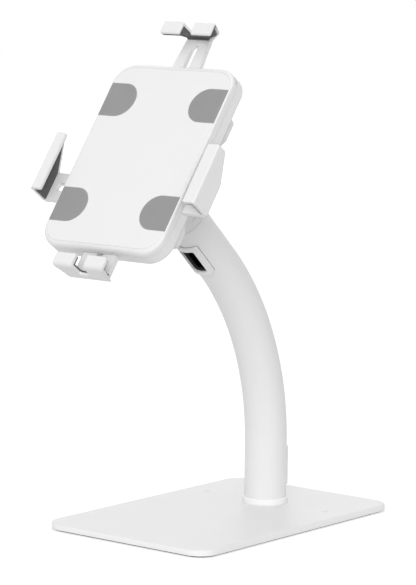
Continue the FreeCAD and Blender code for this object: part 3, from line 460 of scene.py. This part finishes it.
def bore_group(name):
    """Mask of the inside of the bent tube, which gets painted shade.

    In the plane of the bend the distance from the bend's centre is the length of the step to it,
    with the part below the centre left out, and past the end of the bend it is the step along the
    end's radius. That distance less the bend's radius, and the step aside, give the distance from
    the tube's middle line, which is compared with a radius between the bore and the outside.
    """
    tree, given, result = node_group(
        name,
        [("Vector", "NodeSocketVector", None), ("Centre Y", "NodeSocketFloat", -0.19),
         ("Centre Z", "NodeSocketFloat", 0.068), ("Bend radius", "NodeSocketFloat", 0.26),
         ("Bend angle", "NodeSocketFloat", math.radians(47.0)),
         ("Limit", "NodeSocketFloat", 0.0199)],
        [("Mask", "NodeSocketFloat")])

    def product(first, second):
        return calc(tree, "MULTIPLY", first, second)

    place = add(tree, "ShaderNodeSeparateXYZ", {"Vector": given["Vector"]}).outputs
    back = calc(tree, "SUBTRACT", place["Y"], given["Centre Y"])
    rise = calc(tree, "SUBTRACT", place["Z"], given["Centre Z"])
    above = calc(tree, "MAXIMUM", rise, 0.0)
    bend = calc(tree, "SQRT", calc(tree, "MULTIPLY_ADD", back, back, product(above, above)))
    cosine = calc(tree, "COSINE", given["Bend angle"])
    sine = calc(tree, "SINE", given["Bend angle"])
    straight = calc(tree, "MULTIPLY_ADD", back, cosine, product(rise, sine))
    beyond = calc(tree, "SUBTRACT", product(rise, cosine), product(back, sine))
    past = calc(tree, "GREATER_THAN", beyond, 0.0)
    off = calc(tree, "SUBTRACT", between(tree, past, bend, straight), given["Bend radius"])
    side = product(place["X"], place["X"])
    distance = calc(tree, "SQRT", calc(tree, "MULTIPLY_ADD", off, off, side))
    fill(tree, result, {"Mask": calc(tree, "LESS_THAN", distance, given["Limit"])})
    return tree


def placed(tree, name, build, inputs):
    """Outputs of a group placed in a material with its own values, built on its first use."""
    group = bpy.data.node_groups.get(name) or build(name)
    return add(tree, "ShaderNodeGroup", inputs, node_tree=group).outputs


def textured(tree, vector, normal, grain, wave):
    """Bumped normal and grain height, where grain and wave are each a size and a depth."""
    return placed(tree, "Surface texture", surface_texture_group, {
        "Vector": vector, "Normal": normal, "Grain size": grain[0], "Grain depth": grain[1],
        "Wave size": wave[0], "Wave depth": wave[1]})


def toned(tree, vector, light, dark, patch):
    """Colour that drifts between two, in patches of a size."""
    return placed(tree, "Tone drift", tone_group, {
        "Vector": vector, "Light": light, "Dark": dark, "Patch size": patch})["Color"]


def empty_tree(block):
    """Node tree of a material or a world, with nothing in it."""
    block.use_nodes = True
    block.node_tree.nodes.clear()
    return block.node_tree


def blank_material(name):
    """Material with a shader, and the piece's own coordinates."""
    material = bpy.data.materials.new(name)
    tree = empty_tree(material)
    shader = add(tree, "ShaderNodeBsdfPrincipled", {})
    add(tree, "ShaderNodeOutputMaterial", {0: shader.outputs[0]})
    return material, tree, shader, add(tree, "ShaderNodeTexCoord", {}).outputs["Object"]


def opaque(colour, share=1.0):
    """Colour with its share of brightness and a full alpha."""
    return (colour[0] * share, colour[1] * share, colour[2] * share, 1.0)


def coated(name, colour, roughness, grain, wave, edge=0.0004, bore=None, sides=None):
    """Painted or moulded finish: pigment drift, grain, soft edges worn smoother with a painted
    highlight.

    A bore is a distance from the tube's middle line and the colour of painted shade within it.
    Sides is the colour of upright faces: a painted highlight, where they catch more light."""
    if name in bpy.data.materials:
        return bpy.data.materials[name]
    material, tree, shader, place = blank_material(name)
    soft = soft_normal(tree, edge)
    texture = textured(tree, place, soft, grain, wave)
    pigment = toned(tree, place, opaque(colour), opaque(colour, 0.97), 0.03)
    rub_and_highlight = placed(tree, "Edge rub", edge_group, {
        "Vector": place, "Rounded normal": soft, "Strength": 3.0})["Mask"]
    # painted highlight: the edge mask mixes the coat towards a lighter copy, as if the edges caught
    # light; the same mask makes them smoother
    pigment = blend(tree, rub_and_highlight, pigment, opaque(colour, PAINTED_EDGE_HIGHLIGHT))
    # painted highlight: upright faces are mixed towards the lighter side colour
    if sides:
        lean = add(tree, "ShaderNodeSeparateXYZ", {0: soft}).outputs["Z"]
        upright = ranged(tree, calc(tree, "ABSOLUTE", lean), 1.0, 0.0, low=0.35, high=0.8)
        pigment = blend(tree, upright, pigment, opaque(sides))
    # painted shade: all within the bore's distance is mixed towards the dark bore colour
    if bore:
        inside = placed(tree, "Inside of the tube", bore_group, {
            "Vector": place, "Limit": bore[0]})["Mask"]
        pigment = blend(tree, inside, pigment, opaque(bore[1]))
    rough = ranged(tree, texture["Height"], roughness - 0.05, roughness + 0.05)
    rough = calc(tree, "MULTIPLY_ADD", rub_and_highlight, -EDGE_GLOSS, rough)
    fill(tree, shader, {"Base Color": pigment, "Roughness": rough, "Normal": texture["Normal"],
                        "Specular IOR Level": 0.4})
    return material


def rubber(name, colour, roughness, grain, sheen=0.15, front=None):
    """Soft rubber: fine open grain whose hollows are painted darker as painted shade, and a faint
    bloom.

    With a front direction, the walls that stand across it get painted shade, and the rounded
    edge between wall and front gets a painted highlight."""
    if name in bpy.data.materials:
        return bpy.data.materials[name]
    material, tree, shader, place = blank_material(name)
    normal = add(tree, "ShaderNodeNewGeometry", {}).outputs["Normal"]
    texture = textured(tree, place, normal, grain, (0.006, 0.00004))
    tone = toned(tree, place, opaque(colour, 1.06), opaque(colour, 0.94), 0.02)
    # painted shade: the grain's hollows are darkened
    light = ranged(tree, texture["Height"], 0.86, 1.0, low=0.3, high=0.5)
    if front is not None:
        # painted shade on the walls and a painted highlight on the rounded edge, by how far a face
        # turns from the front
        facing = dot(tree, normal, front)
        painted_highlight = 1.3
        wall = ranged(tree, facing, 0.45, painted_highlight, low=0.55, high=0.75)
        flat = ranged(tree, facing, 1.0, 1.0 / painted_highlight, low=0.9, high=0.99)
        light = calc(tree, "MULTIPLY", light, calc(tree, "MULTIPLY", wall, flat))
    shaded = add(tree, "ShaderNodeVectorMath", {0: tone, "Scale": light}, operation="SCALE")
    rough = ranged(tree, texture["Height"], roughness - 0.08, roughness + 0.06)
    fill(tree, shader, {"Base Color": shaded.outputs["Vector"], "Roughness": rough,
                        "Normal": texture["Normal"], "Specular IOR Level": 0.3,
                        "Sheen Weight": sheen, "Sheen Roughness": 0.5})
    return material


def metal(name, colour, roughness, stretch, depth):
    """Bare or plated metal: tool marks drawn out along one axis, over a cloudy plating."""
    if name in bpy.data.materials:
        return bpy.data.materials[name]
    material, tree, shader, place = blank_material(name)
    drawn = add(tree, "ShaderNodeMapping", {"Vector": place, "Scale": stretch}).outputs["Vector"]
    texture = textured(tree, drawn, soft_normal(tree, 0.0002), (0.0006, depth), (0.004, depth))
    tone = toned(tree, place, opaque(colour, 1.08), opaque(colour, 0.9), 0.004)
    rough = ranged(tree, texture["Height"], roughness - 0.08, roughness + 0.1)
    fill(tree, shader, {"Base Color": tone, "Roughness": rough, "Normal": texture["Normal"],
                        "Metallic": 1.0})
    return material


def steel_paint(name="powder_coat", colour=None, roughness=0.38, **more):
    """Satin powder coat of the base, the column and the hinge."""
    return coated(name, colour or settings()[1].steel_paint, roughness, (0.0005, 0.000003),
                  (0.0022, 0.000012), edge=0.0008, **more)


def casing_plastic(name="moulded_white", colour=None, bore=None):
    """Satin moulded plastic."""
    return coated(name, colour or settings()[1].casing_white, 0.45, (0.00025, 0.000004),
                  (0.004, 0.000006), bore=bore)


def pad_rubber():
    """Grey rubber of the face pads."""
    return rubber("pad_rubber", settings()[1].pad_grey, 0.62, (0.0003, 0.000012),
                  front=tuple(FACE_AXES[2]))


def lining_rubber():
    """Dark rubber in the hooks."""
    return rubber("lining_rubber", settings()[1].lining_grey, 0.6, (0.00035, 0.00001))


def base_foam():
    """Soft foam under the base."""
    return rubber("base_foam", settings()[1].foam_dark, 0.8, (0.0006, 0.00005), sheen=0.0)


def dress(nodes, material):
    """Give parts of the frame a finish."""
    for name in nodes:
        materials = frame["nodes"][name].data.materials
        if not materials:
            materials.append(material)
        for index in range(len(materials)):
            materials[index] = material


# One operator for each piece or group of like pieces

class StandOperator:
    """What the operators share."""
    bl_options = {"REGISTER", "UNDO"}


class DESKSTAND_OT_front_casing(StandOperator, bpy.types.Operator):
    """Moulded front casing: a rounded rectangle whose wall turns into the face on an ellipse.

    The ellipse is as deep as its place on the outline says: the depth of the long sides, plus the
    difference to the ends' depth times the square of the sine of the outline's angle. Inside it a
    line runs round the face, as deep as the square of a sine over its width. The rim is raised
    where the way along the corner's arc from the slot's middle is less than half its length."""
    bl_idname = "deskstand.front_casing"
    bl_label = "Front casing"

    def execute(self, context):
        sizes = settings()[0]
        back, front = CASING_LOW[2], CASING_HIGH[2]
        low_inset, low_level = quarter_round(sizes.parting_break, sizes.parting_break, SMALL_STEPS)
        side_inset, side_level = quarter_round(sizes.edge_width, sizes.edge_depth, EDGE_STEPS)
        groove = np.linspace(0.0, 1.0, GROOVE_STEPS + 1)[1:]
        inset = np.concatenate([low_inset[::-1], side_inset,
                                sizes.edge_width + sizes.groove_width * groove,
                                [sizes.edge_width + sizes.groove_width + FLAT_RING]])
        level = np.concatenate([back - low_level[::-1], front + side_level,
                                front - sizes.groove_depth * np.sin(math.pi * groove) ** 2,
                                [front]])
        edge = slice(SMALL_STEPS, SMALL_STEPS + EDGE_STEPS)
        drawn = inset * 0.0
        drawn_ends = sizes.edge_width_ends - sizes.edge_width
        drawn[edge] = side_inset * (drawn_ends / sizes.edge_width)
        drawn[edge.stop:] = drawn_ends
        corners = rectangle_corners(*CASING_HIGH[:2], sizes.corner_radius)
        rings = outline_rings(corners, inset, level, CASING_STEPS, drawn)
        angle = (np.arange(4)[:, None] + np.linspace(0.0, 1.0, CASING_STEPS)).ravel() * QUARTER
        deeper = (sizes.edge_depth_ends - sizes.edge_depth) * np.sin(angle) ** 2
        depth = sizes.edge_depth + deeper
        rings[edge, :, 2] = front + side_level[:, None] * depth / sizes.edge_depth
        from_slot = np.abs(angle - SLOT_ANGLE) * sizes.corner_radius
        rings[:edge.start, :, 2] += sizes.slot_height * (from_slot < sizes.slot_length / 2)
        count, around = rings.shape[:2]
        faces = grid_faces(count, around, True).tolist()
        faces.append(list(range((count - 1) * around, count * around)))
        piece = new_piece("front_casing", from_holder(rings), faces, casing_plastic(), "holder",
                          sharp=50.0)
        modifier(piece, "wall", "SOLIDIFY", thickness=sizes.casing_wall, offset=-1.0)
        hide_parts("front_shell")
        return {"FINISHED"}


class DESKSTAND_OT_face_pads(StandOperator, bpy.types.Operator):
    """Four rubber pads: a half round end, a straight outer side, a rounded edge and a low crown.

    The crown's rings are the rim drawn in towards the pad's middle by a share, and stand under the
    top by the crown's height times the square of what is left of one."""
    bl_idname = "deskstand.face_pads"
    bl_label = "Face pads"

    def execute(self, context):
        sizes = settings()[0]
        half, crown = sizes.pad_height / 2, sizes.pad_crown
        outer, top = PADS_HIGH[0], PADS_HIGH[2]
        side_inset, side_level = quarter_round(sizes.pad_edge, sizes.pad_edge, PAD_EDGE_STEPS)
        inset = np.concatenate([[0.0], side_inset])
        level = np.concatenate([[PAD_ROOT], top - crown + side_level])
        corners = [(outer - PAD_CORNER, half - PAD_CORNER, PAD_CORNER, 0, QUARTER),
                   (outer - sizes.pad_width + half, 0.0, half, QUARTER, 2 * QUARTER),
                   (outer - PAD_CORNER, PAD_CORNER - half, PAD_CORNER, 3 * QUARTER, QUARTER)]
        rings = outline_rings(corners, inset, level, PAD_STEPS)
        rim = rings[-1:]
        drawn_in = np.linspace(0.0, CROWN_REACH, CROWN_STEPS + 1)[1:, None, None]
        crowned = rim.mean(axis=1, keepdims=True) * drawn_in + rim * (1.0 - drawn_in)
        crowned[..., 2:] = top - crown * (1.0 - drawn_in) ** 2
        rings = np.concatenate([rings, crowned])
        count, around = rings.shape[:2]
        ends = np.stack([np.arange(around)[::-1], np.arange(around) + (count - 1) * around])
        points, faces = [], []
        for side in (-1, 1):
            for height in (sizes.pad_low, sizes.pad_high):
                first = len(points) * count * around
                faces += (grid_faces(count, around, True) + first).tolist()
                faces += (ends + first).tolist()
                points.append(rings * (side, 1.0, 1.0) + (0.0, height, 0.0))
        piece = new_piece("face_pads_rubber", from_holder(np.concatenate(points)), faces,
                          pad_rubber(), "holder", sharp=60.0)
        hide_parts("face_pads")
        return {"FINISHED"}


def lining(name, stations, along, outward, body, node):
    """Rubber lining as a bent sheet with thickness.

    A station is a point of the bent line, the places across the sheet where its outer edges and
    the gap's edges lie, and whether the gap is open up to it. A point is the place across times
    the direction along the hook, plus the line's first number outward and its second out of the
    face. The thickness goes to the side that faces the tablet.
    """
    sizes = settings()[0]
    line = np.array([station[0] for station in stations]) * MM
    across = np.array([station[1] for station in stations]) * MM
    gap = np.array([station[2] for station in stations])
    steps = np.stack(np.broadcast_arrays(across, line[:, :1], line[:, 1:]), axis=-1)
    axes = np.array([along, outward, (0.0, 0.0, 1.0)])
    cells = grid_faces(*across.shape, False).reshape(len(stations) - 1, -1, 4)
    keep = np.ones(cells.shape[:2], bool)
    keep[:, 1:-1] = ~gap[1:, None]
    faces = cells[keep]
    if np.linalg.det(axes) > 0:
        faces = faces[:, ::-1]
    mesh = array_mesh(name, from_holder(steps @ axes), faces.tolist())
    mesh.materials.append(lining_rubber())
    mesh.shade_smooth()
    piece = riding(name, mesh, body)
    modifier(piece, "thickness", "SOLIDIFY", thickness=sizes.lining_thickness, offset=-1.0,
             use_even_offset=True)
    modifier(piece, "soft edges", "BEVEL", width=sizes.lining_edge, segments=3,
             limit_method="ANGLE", angle_limit=math.radians(40.0), harden_normals=True)
    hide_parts(node)


def centre_lining(name, body, node, sign, reach, root_half, mid_half, mid_level, lip_end):
    """Lining of the top or bottom hook: over the arm's root, up the wall and behind the lip."""
    def row(level):
        """The sheet's outer edges and the gap's edges at a level."""
        half = float(np.interp(level, [PLATE_LEVEL, mid_level, LIP_LEVEL],
                               [root_half, mid_half, LIP_HALF]))
        gap = float(np.interp(level, GAP_LEVELS, GAP_HALVES))
        return [-half, -gap, gap, half]

    wall = reach - HOOK_WALL
    stations = [((wall - ROOT_RUN, PLATE_LEVEL), row(PLATE_LEVEL), False)]
    for level in sorted({PLATE_LEVEL, *GAP_LEVELS, mid_level, LIP_LEVEL}):
        stations.append(((wall, level), row(level), level > GAP_LEVELS[0]))
    stations.append(((reach - lip_end, LIP_LEVEL), row(LIP_LEVEL), True))
    lining(name, stations, (sign, 0.0, 0.0), (0.0, sign, 0.0), body, node)


def side_lining(name, side, body, node):
    """Lining of a side hook: on the wall and behind the lip."""
    stations = [((SIDE_WALL, level), [SIDE_LOW, high], False) for level, high in SIDE_HIGH]
    stations.append(((SIDE_LIP_END, LIP_LEVEL), stations[-1][1], False))
    lining(name, stations, (0.0, 1.0, 0.0), (side, 0.0, 0.0), body, node)


class DESKSTAND_OT_hook_linings(StandOperator, bpy.types.Operator):
    """Rubber linings of the four hooks"""
    bl_idname = "deskstand.hook_linings"
    bl_label = "Hook linings"

    def execute(self, context):
        centre_lining("top_lining", "top_hook", "top_arm_pad", sign=1.0, reach=143.0,
                      root_half=13.0, mid_half=25.3, mid_level=-2.8, lip_end=13.3)
        centre_lining("bottom_lining", "bottom_hook", "bottom_arm_pad", sign=-1.0, reach=128.2,
                      root_half=21.8, mid_half=25.55, mid_level=1.2, lip_end=12.3)
        side_lining("left_lining", -1.0, "left_hook", "left_arm_pad")
        side_lining("right_lining", 1.0, "right_hook", "right_arm_pad")
        return {"FINISHED"}


class DESKSTAND_OT_base_sheet(StandOperator, bpy.types.Operator):
    """Soft sheet under the base: a rounded rectangle with round holes and soft edges"""
    bl_idname = "deskstand.base_sheet"
    bl_label = "Base sheet"

    def execute(self, context):
        edge = settings()[0].sheet_edge
        low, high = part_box("base_pad")
        side_inset, side_level = quarter_round(edge, edge, SMALL_STEPS)
        inset = np.concatenate([side_inset[::-1], side_inset])
        level = np.concatenate([low.z - side_level[::-1], high.z + side_level])
        corners = rectangle_corners(high.x, high.y, SHEET_CORNER)
        walls = [outline_rings(corners, inset, level, SHEET_STEPS)]
        angle = np.linspace(0.0, 4 * QUARTER, HOLE_STEPS + 1)[:-1]
        for x, y, radius in SHEET_HOLES:
            wider = radius + inset[:, None]
            circle = x + wider * np.cos(angle), y + wider * np.sin(angle), level[:, None]
            walls.append(np.stack(np.broadcast_arrays(*circle), axis=-1))
        points = np.concatenate([wall.reshape(-1, 3) for wall in walls])
        firsts = np.cumsum([0] + [wall.shape[0] * wall.shape[1] for wall in walls[:-1]])
        faces = []
        for first, wall in zip(firsts, walls):
            faces += (grid_faces(*wall.shape[:2], True) + first).tolist()
        for row in (0, len(level) - 1):
            cap = geometry.tessellate_polygon([wall[row].tolist() for wall in walls])
            index = np.concatenate([first + row * wall.shape[1] + np.arange(wall.shape[1])
                                    for first, wall in zip(firsts, walls)])
            faces += index[np.array(cap)].tolist()
        piece = new_piece("base_sheet", points, faces, base_foam(), "stand", sharp=60.0)
        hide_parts("base_pad")
        return {"FINISHED"}


class DESKSTAND_OT_painted_steel(StandOperator, bpy.types.Operator):
    """Powder coat on the base, the column and the hinge"""
    bl_idname = "deskstand.painted_steel"
    bl_label = "Painted steel"

    def execute(self, context):
        colours = settings()[1]
        # the base gets a painted highlight on its upright sides
        dress(["base_plate"], steel_paint("powder_coat_base", roughness=0.36,
                                          sides=colours.base_side_highlight))
        dress(["column_end_fork", "tilt_knuckle"], steel_paint())
        # the column: a lighter copy of the steel coat as painted light, and painted shade inside it
        dress(["column_tube"], steel_paint("powder_coat_column", colours.column_paint_and_painted_light,
                                           bore=(TUBE_INSIDE, colours.bore_painted_shade)))
        return {"FINISHED"}


class DESKSTAND_OT_moulded_parts(StandOperator, bpy.types.Operator):
    """Moulded plastic of the rear casing, the cover, the collar and the cable frames"""
    bl_idname = "deskstand.moulded_parts"
    bl_label = "Moulded parts"

    def execute(self, context):
        colours = settings()[1]
        dress(["front_shell", "rear_shell", "rear_cover"], casing_plastic())
        dress(["column_ring"], casing_plastic("moulded_white_collar", colours.collar_white))
        # the cable frames get painted shade in their necks
        dress(["lower_cable_grommet", "upper_cable_grommet"],
              casing_plastic("moulded_white_frame", bore=(FRAME_WAY, colours.neck_painted_shade)))
        return {"FINISHED"}


def merged_part(node, name):
    """Mesh of a part of the frame with its doubled points merged and its flat faces made whole."""
    source = frame["nodes"][node].data
    triangles = gathered(source.loops, "vertex_index", 1, np.int32).reshape(-1, 3)
    mesh = array_mesh(name, gathered(source.vertices, "co", 3), triangles.tolist())
    shape = bmesh.new()
    shape.from_mesh(mesh)
    bmesh.ops.remove_doubles(shape, verts=shape.verts, dist=SAME_POINT)
    bmesh.ops.dissolve_limit(shape, angle_limit=SAME_FACE, verts=shape.verts, edges=shape.edges)
    shape.to_mesh(mesh)
    shape.free()
    return mesh


def edge_turns(mesh):
    """For each edge its middle, how far its two faces turn, and whether it stands out.

    An edge stands out where the step from the first face's middle to the second's goes down
    along the first face's normal.
    """
    points = gathered(mesh.vertices, "co", 3)
    ends = gathered(mesh.edges, "vertices", 2, np.int32)
    normal, centre = (gathered(mesh.polygons, field, 3) for field in ("normal", "center"))
    edge = gathered(mesh.loops, "edge_index", 1, np.int32)
    face = np.repeat(np.arange(len(normal)), gathered(mesh.polygons, "loop_total", 1, np.int32))
    order = np.argsort(edge, kind="stable")
    first = np.searchsorted(edge[order], np.arange(len(ends)))
    one, other = face[order[first]], face[order[np.minimum(first + 1, len(order) - 1)]]
    turn = np.arccos(np.clip((normal[one] * normal[other]).sum(axis=1), -1.0, 1.0))
    out = ((centre[other] - centre[one]) * normal[one]).sum(axis=1) < 0.0
    return points[ends].mean(axis=1), turn, out


def rounded_top_arm(material):
    """Top arm whose hook has rounded outer edges.

    An edge belongs to the hook beyond the slot's end, and in front of the arm's plate from the
    hook's start on."""
    name = "top_arm_rounded"
    mesh = merged_part("top_arm", name)
    mesh.shade_smooth()
    middle, turn, out = edge_turns(mesh)
    _, up, forward = to_holder(middle).T / MM
    hook = (up > TOP_SLOT_END) | ((forward > PLATE_LEVEL + 0.1) & (up > TOP_HOOK_START))
    sharp = turn > SHARP_EDGE
    chosen = sharp & out & hook
    weight = mesh.attributes.new("bevel_weight_edge", "FLOAT", "EDGE")
    weight.data.foreach_set("value", chosen.astype(np.float32))
    hard = mesh.attributes.new("sharp_edge", "BOOLEAN", "EDGE")
    hard.data.foreach_set("value", sharp & ~chosen)
    mesh.materials.append(material)
    piece = riding(name, mesh, "top_hook")
    modifier(piece, "soft edges", "BEVEL", width=settings()[0].hook_edge, segments=3,
             limit_method="WEIGHT", use_clamp_overlap=False, harden_normals=True)
    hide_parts("top_arm")


class DESKSTAND_OT_arms(StandOperator, bpy.types.Operator):
    """The four arms, the top one with its hook's outer edges rounded"""
    bl_idname = "deskstand.arms"
    bl_label = "Arms and hooks"

    def execute(self, context):
        paint = coated("arm_powder_coat", settings()[1].arm_paint, 0.4, (0.0004, 0.000003),
                       (0.0018, 0.00001), edge=0.0012)
        rounded_top_arm(paint)
        dress(["top_arm", "bottom_arm", "left_arm", "right_arm"], paint)
        return {"FINISHED"}


class DESKSTAND_OT_hardware(StandOperator, bpy.types.Operator):
    """Plated screws, nuts, plug, gear and clamp, and the nylon washers"""
    bl_idname = "deskstand.hardware"
    bl_label = "Hardware"

    def execute(self, context):
        colours = settings()[1]
        zinc = metal("zinc_plate", colours.zinc, 0.34, (1.0, 1.0, 0.1), 0.000004)
        dress(["column_foot_plug", "column_bolt", "fork_screws", "tilt_bolt", "tilt_nut",
               "swivel_nut", "case_screws", "clamp_plate", "drive_pinion", "lock_cam",
               "lock_nut"], zinc)
        washer = coated("nylon_natural", colours.nylon, 0.5, (0.0004, 0.000004),
                        (0.003, 0.00001), edge=0.0002)
        dress(["tilt_washers", "swivel_washer"], washer)
        return {"FINISHED"}


class DESKSTAND_OT_key_lock(StandOperator, bpy.types.Operator):
    """Polished housing and core of the key lock"""
    bl_idname = "deskstand.key_lock"
    bl_label = "Key lock"

    def execute(self, context):
        dress(["lock_barrel", "lock_plug"],
              metal("lock_chrome", settings()[1].chrome, 0.16, (1.0, 1.0, 1.0), 0.0000015))
        return {"FINISHED"}


class DESKSTAND_OT_dress_hidden(StandOperator, bpy.types.Operator):
    """Finish of the solids that the made pieces stand for"""
    bl_idname = "deskstand.dress_hidden"
    bl_label = "Replaced solids"

    def execute(self, context):
        dress(["face_pads"], pad_rubber())
        dress(["base_pad"], base_foam())
        dress(["top_arm_pad", "bottom_arm_pad", "left_arm_pad", "right_arm_pad"], lining_rubber())
        return {"FINISHED"}


def seen(tree):
    """One for rays of the camera, mirrors and glass, nought for light that falls on things."""
    path = add(tree, "ShaderNodeLightPath", {}).outputs
    either = calc(tree, "MAXIMUM", path["Is Camera Ray"], path["Is Glossy Ray"])
    return calc(tree, "MAXIMUM", either, path["Is Transmission Ray"])


def floor_material(lift):
    """Pale matt floor that keeps the shadow: the camera and mirrors see it lifted to white."""
    material = bpy.data.materials.new("studio_floor")
    tree = empty_tree(material)
    place = add(tree, "ShaderNodeTexCoord", {}).outputs["Object"]
    tone = toned(tree, place, opaque(FLOOR_LIGHT), opaque(FLOOR_DARK), 0.8)
    matt = add(tree, "ShaderNodeBsdfDiffuse", {"Color": tone})
    strength = calc(tree, "MULTIPLY", seen(tree), lift)
    glow = add(tree, "ShaderNodeEmission", {"Color": WHITE, "Strength": strength})
    both = add(tree, "ShaderNodeAddShader", {0: matt.outputs[0], 1: glow.outputs[0]})
    add(tree, "ShaderNodeOutputMaterial", {0: both.outputs[0]})
    return material


def soft_box(name, place, power):
    """Square soft box that looks at the stand and isn't mirrored by the gloss."""
    light = bpy.data.lights.new(name, "AREA")
    light.shape = "RECTANGLE"
    light.size, light.size_y, light.energy = LAMP_SIZE, LAMP_SIZE, power
    lamp = linked(name, light)
    lamp.location = place
    lamp.visible_glossy = False
    lamp.rotation_euler = (Vector(LAMP_AIM) - Vector(place)).to_track_quat("-Z", "Y").to_euler()


def sky_light(strength, overhead):
    """White background for the camera and mirrors, and a soft light that grows towards overhead."""
    world = bpy.data.worlds.new("studio")
    bpy.context.scene.world = world
    tree = empty_tree(world)
    direction = add(tree, "ShaderNodeTexCoord", {}).outputs["Generated"]
    up = add(tree, "ShaderNodeSeparateXYZ", {0: direction}).outputs["Z"]
    level = between(tree, seen(tree), ranged(tree, up, strength, strength + overhead), 1.0)
    back = add(tree, "ShaderNodeBackground", {"Color": WHITE, "Strength": level})
    add(tree, "ShaderNodeOutputWorld", {0: back.outputs[0]})


def place_camera(stage):
    """Camera from its turn, rise, roll and distance to the aim."""
    turn, rise, roll = stage.turn, stage.rise, stage.roll
    right = Vector((math.cos(turn), math.sin(turn), 0.0))
    look = Vector((-math.sin(turn) * math.cos(rise), math.cos(turn) * math.cos(rise),
                   -math.sin(rise)))
    up = right.cross(look)
    x_axis = right * math.cos(roll) + up * math.sin(roll)
    y_axis = up * math.cos(roll) - right * math.sin(roll)
    aim = right * stage.aim_aside + Vector((0.0, 0.0, stage.aim_height))
    lens = bpy.data.cameras.new("studio_camera")
    lens.lens, lens.sensor_width, lens.sensor_fit = stage.lens, 36.0, "AUTO"
    lens.clip_start, lens.clip_end = 0.05, 50.0
    camera = linked("studio_camera", lens)
    turned = Matrix((x_axis, y_axis, -look)).transposed().to_4x4()
    camera.matrix_world = Matrix.Translation(aim - look * stage.distance) @ turned
    bpy.context.scene.camera = camera


class DESKSTAND_OT_stage(StandOperator, bpy.types.Operator):
    """Pale floor, soft light and the camera"""
    bl_idname = "deskstand.stage"
    bl_label = "Stage"

    def execute(self, context):
        stage = settings()[2]
        across = np.linspace(-FLOOR_HALF, FLOOR_HALF, FLOOR_LINES)
        x, y = np.meshgrid(across, across)
        mesh = array_mesh("floor", np.stack([x, y, x * 0.0], axis=-1),
                          grid_faces(FLOOR_LINES, FLOOR_LINES, False).tolist())
        mesh.materials.append(floor_material(stage.floor_lift))
        floor = linked("floor", mesh)
        soft_box("key_box", KEY_PLACE, stage.key)
        soft_box("back_box", BACK_PLACE, stage.back)
        sky_light(stage.sky, stage.sky_top)
        place_camera(stage)
        context.scene.view_settings.view_transform = "Standard"
        return {"FINISHED"}


PIECES = [DESKSTAND_OT_front_casing, DESKSTAND_OT_face_pads, DESKSTAND_OT_hook_linings,
          DESKSTAND_OT_base_sheet, DESKSTAND_OT_painted_steel, DESKSTAND_OT_moulded_parts,
          DESKSTAND_OT_arms, DESKSTAND_OT_hardware, DESKSTAND_OT_key_lock,
          DESKSTAND_OT_dress_hidden, DESKSTAND_OT_stage]


class DESKSTAND_PT_panel(bpy.types.Panel):
    """Sidebar list of the pieces and their values"""
    bl_idname = "DESKSTAND_PT_panel"
    bl_label = "Desk Stand"
    bl_space_type = "VIEW_3D"
    bl_region_type = "UI"
    bl_category = "Desk Stand"

    def draw(self, context):
        layout = self.layout
        for piece in PIECES:
            layout.operator(piece.bl_idname, text=piece.bl_label)
        for group in settings():
            column = layout.column(align=True)
            for name in group.__annotations__:
                column.prop(group, name)


CLASSES = [StandSizes, StandColours, StandStage] + PIECES + [DESKSTAND_PT_panel]


def register():
    """Add the classes, and the values to the scene."""
    for item in CLASSES:
        bpy.utils.register_class(item)
    bpy.types.Scene.stand_sizes = bpy.props.PointerProperty(type=StandSizes)
    bpy.types.Scene.stand_colours = bpy.props.PointerProperty(type=StandColours)
    bpy.types.Scene.stand_stage = bpy.props.PointerProperty(type=StandStage)


def unregister():
    """Take them away again."""
    del bpy.types.Scene.stand_sizes, bpy.types.Scene.stand_colours, bpy.types.Scene.stand_stage
    for item in reversed(CLASSES):
        bpy.utils.unregister_class(item)


def main():
    """Run every operator in order."""
    register()
    for piece in PIECES:
        group, name = piece.bl_idname.split(".")
        getattr(getattr(bpy.ops, group), name)()


if __name__ == "__main__":
    main()
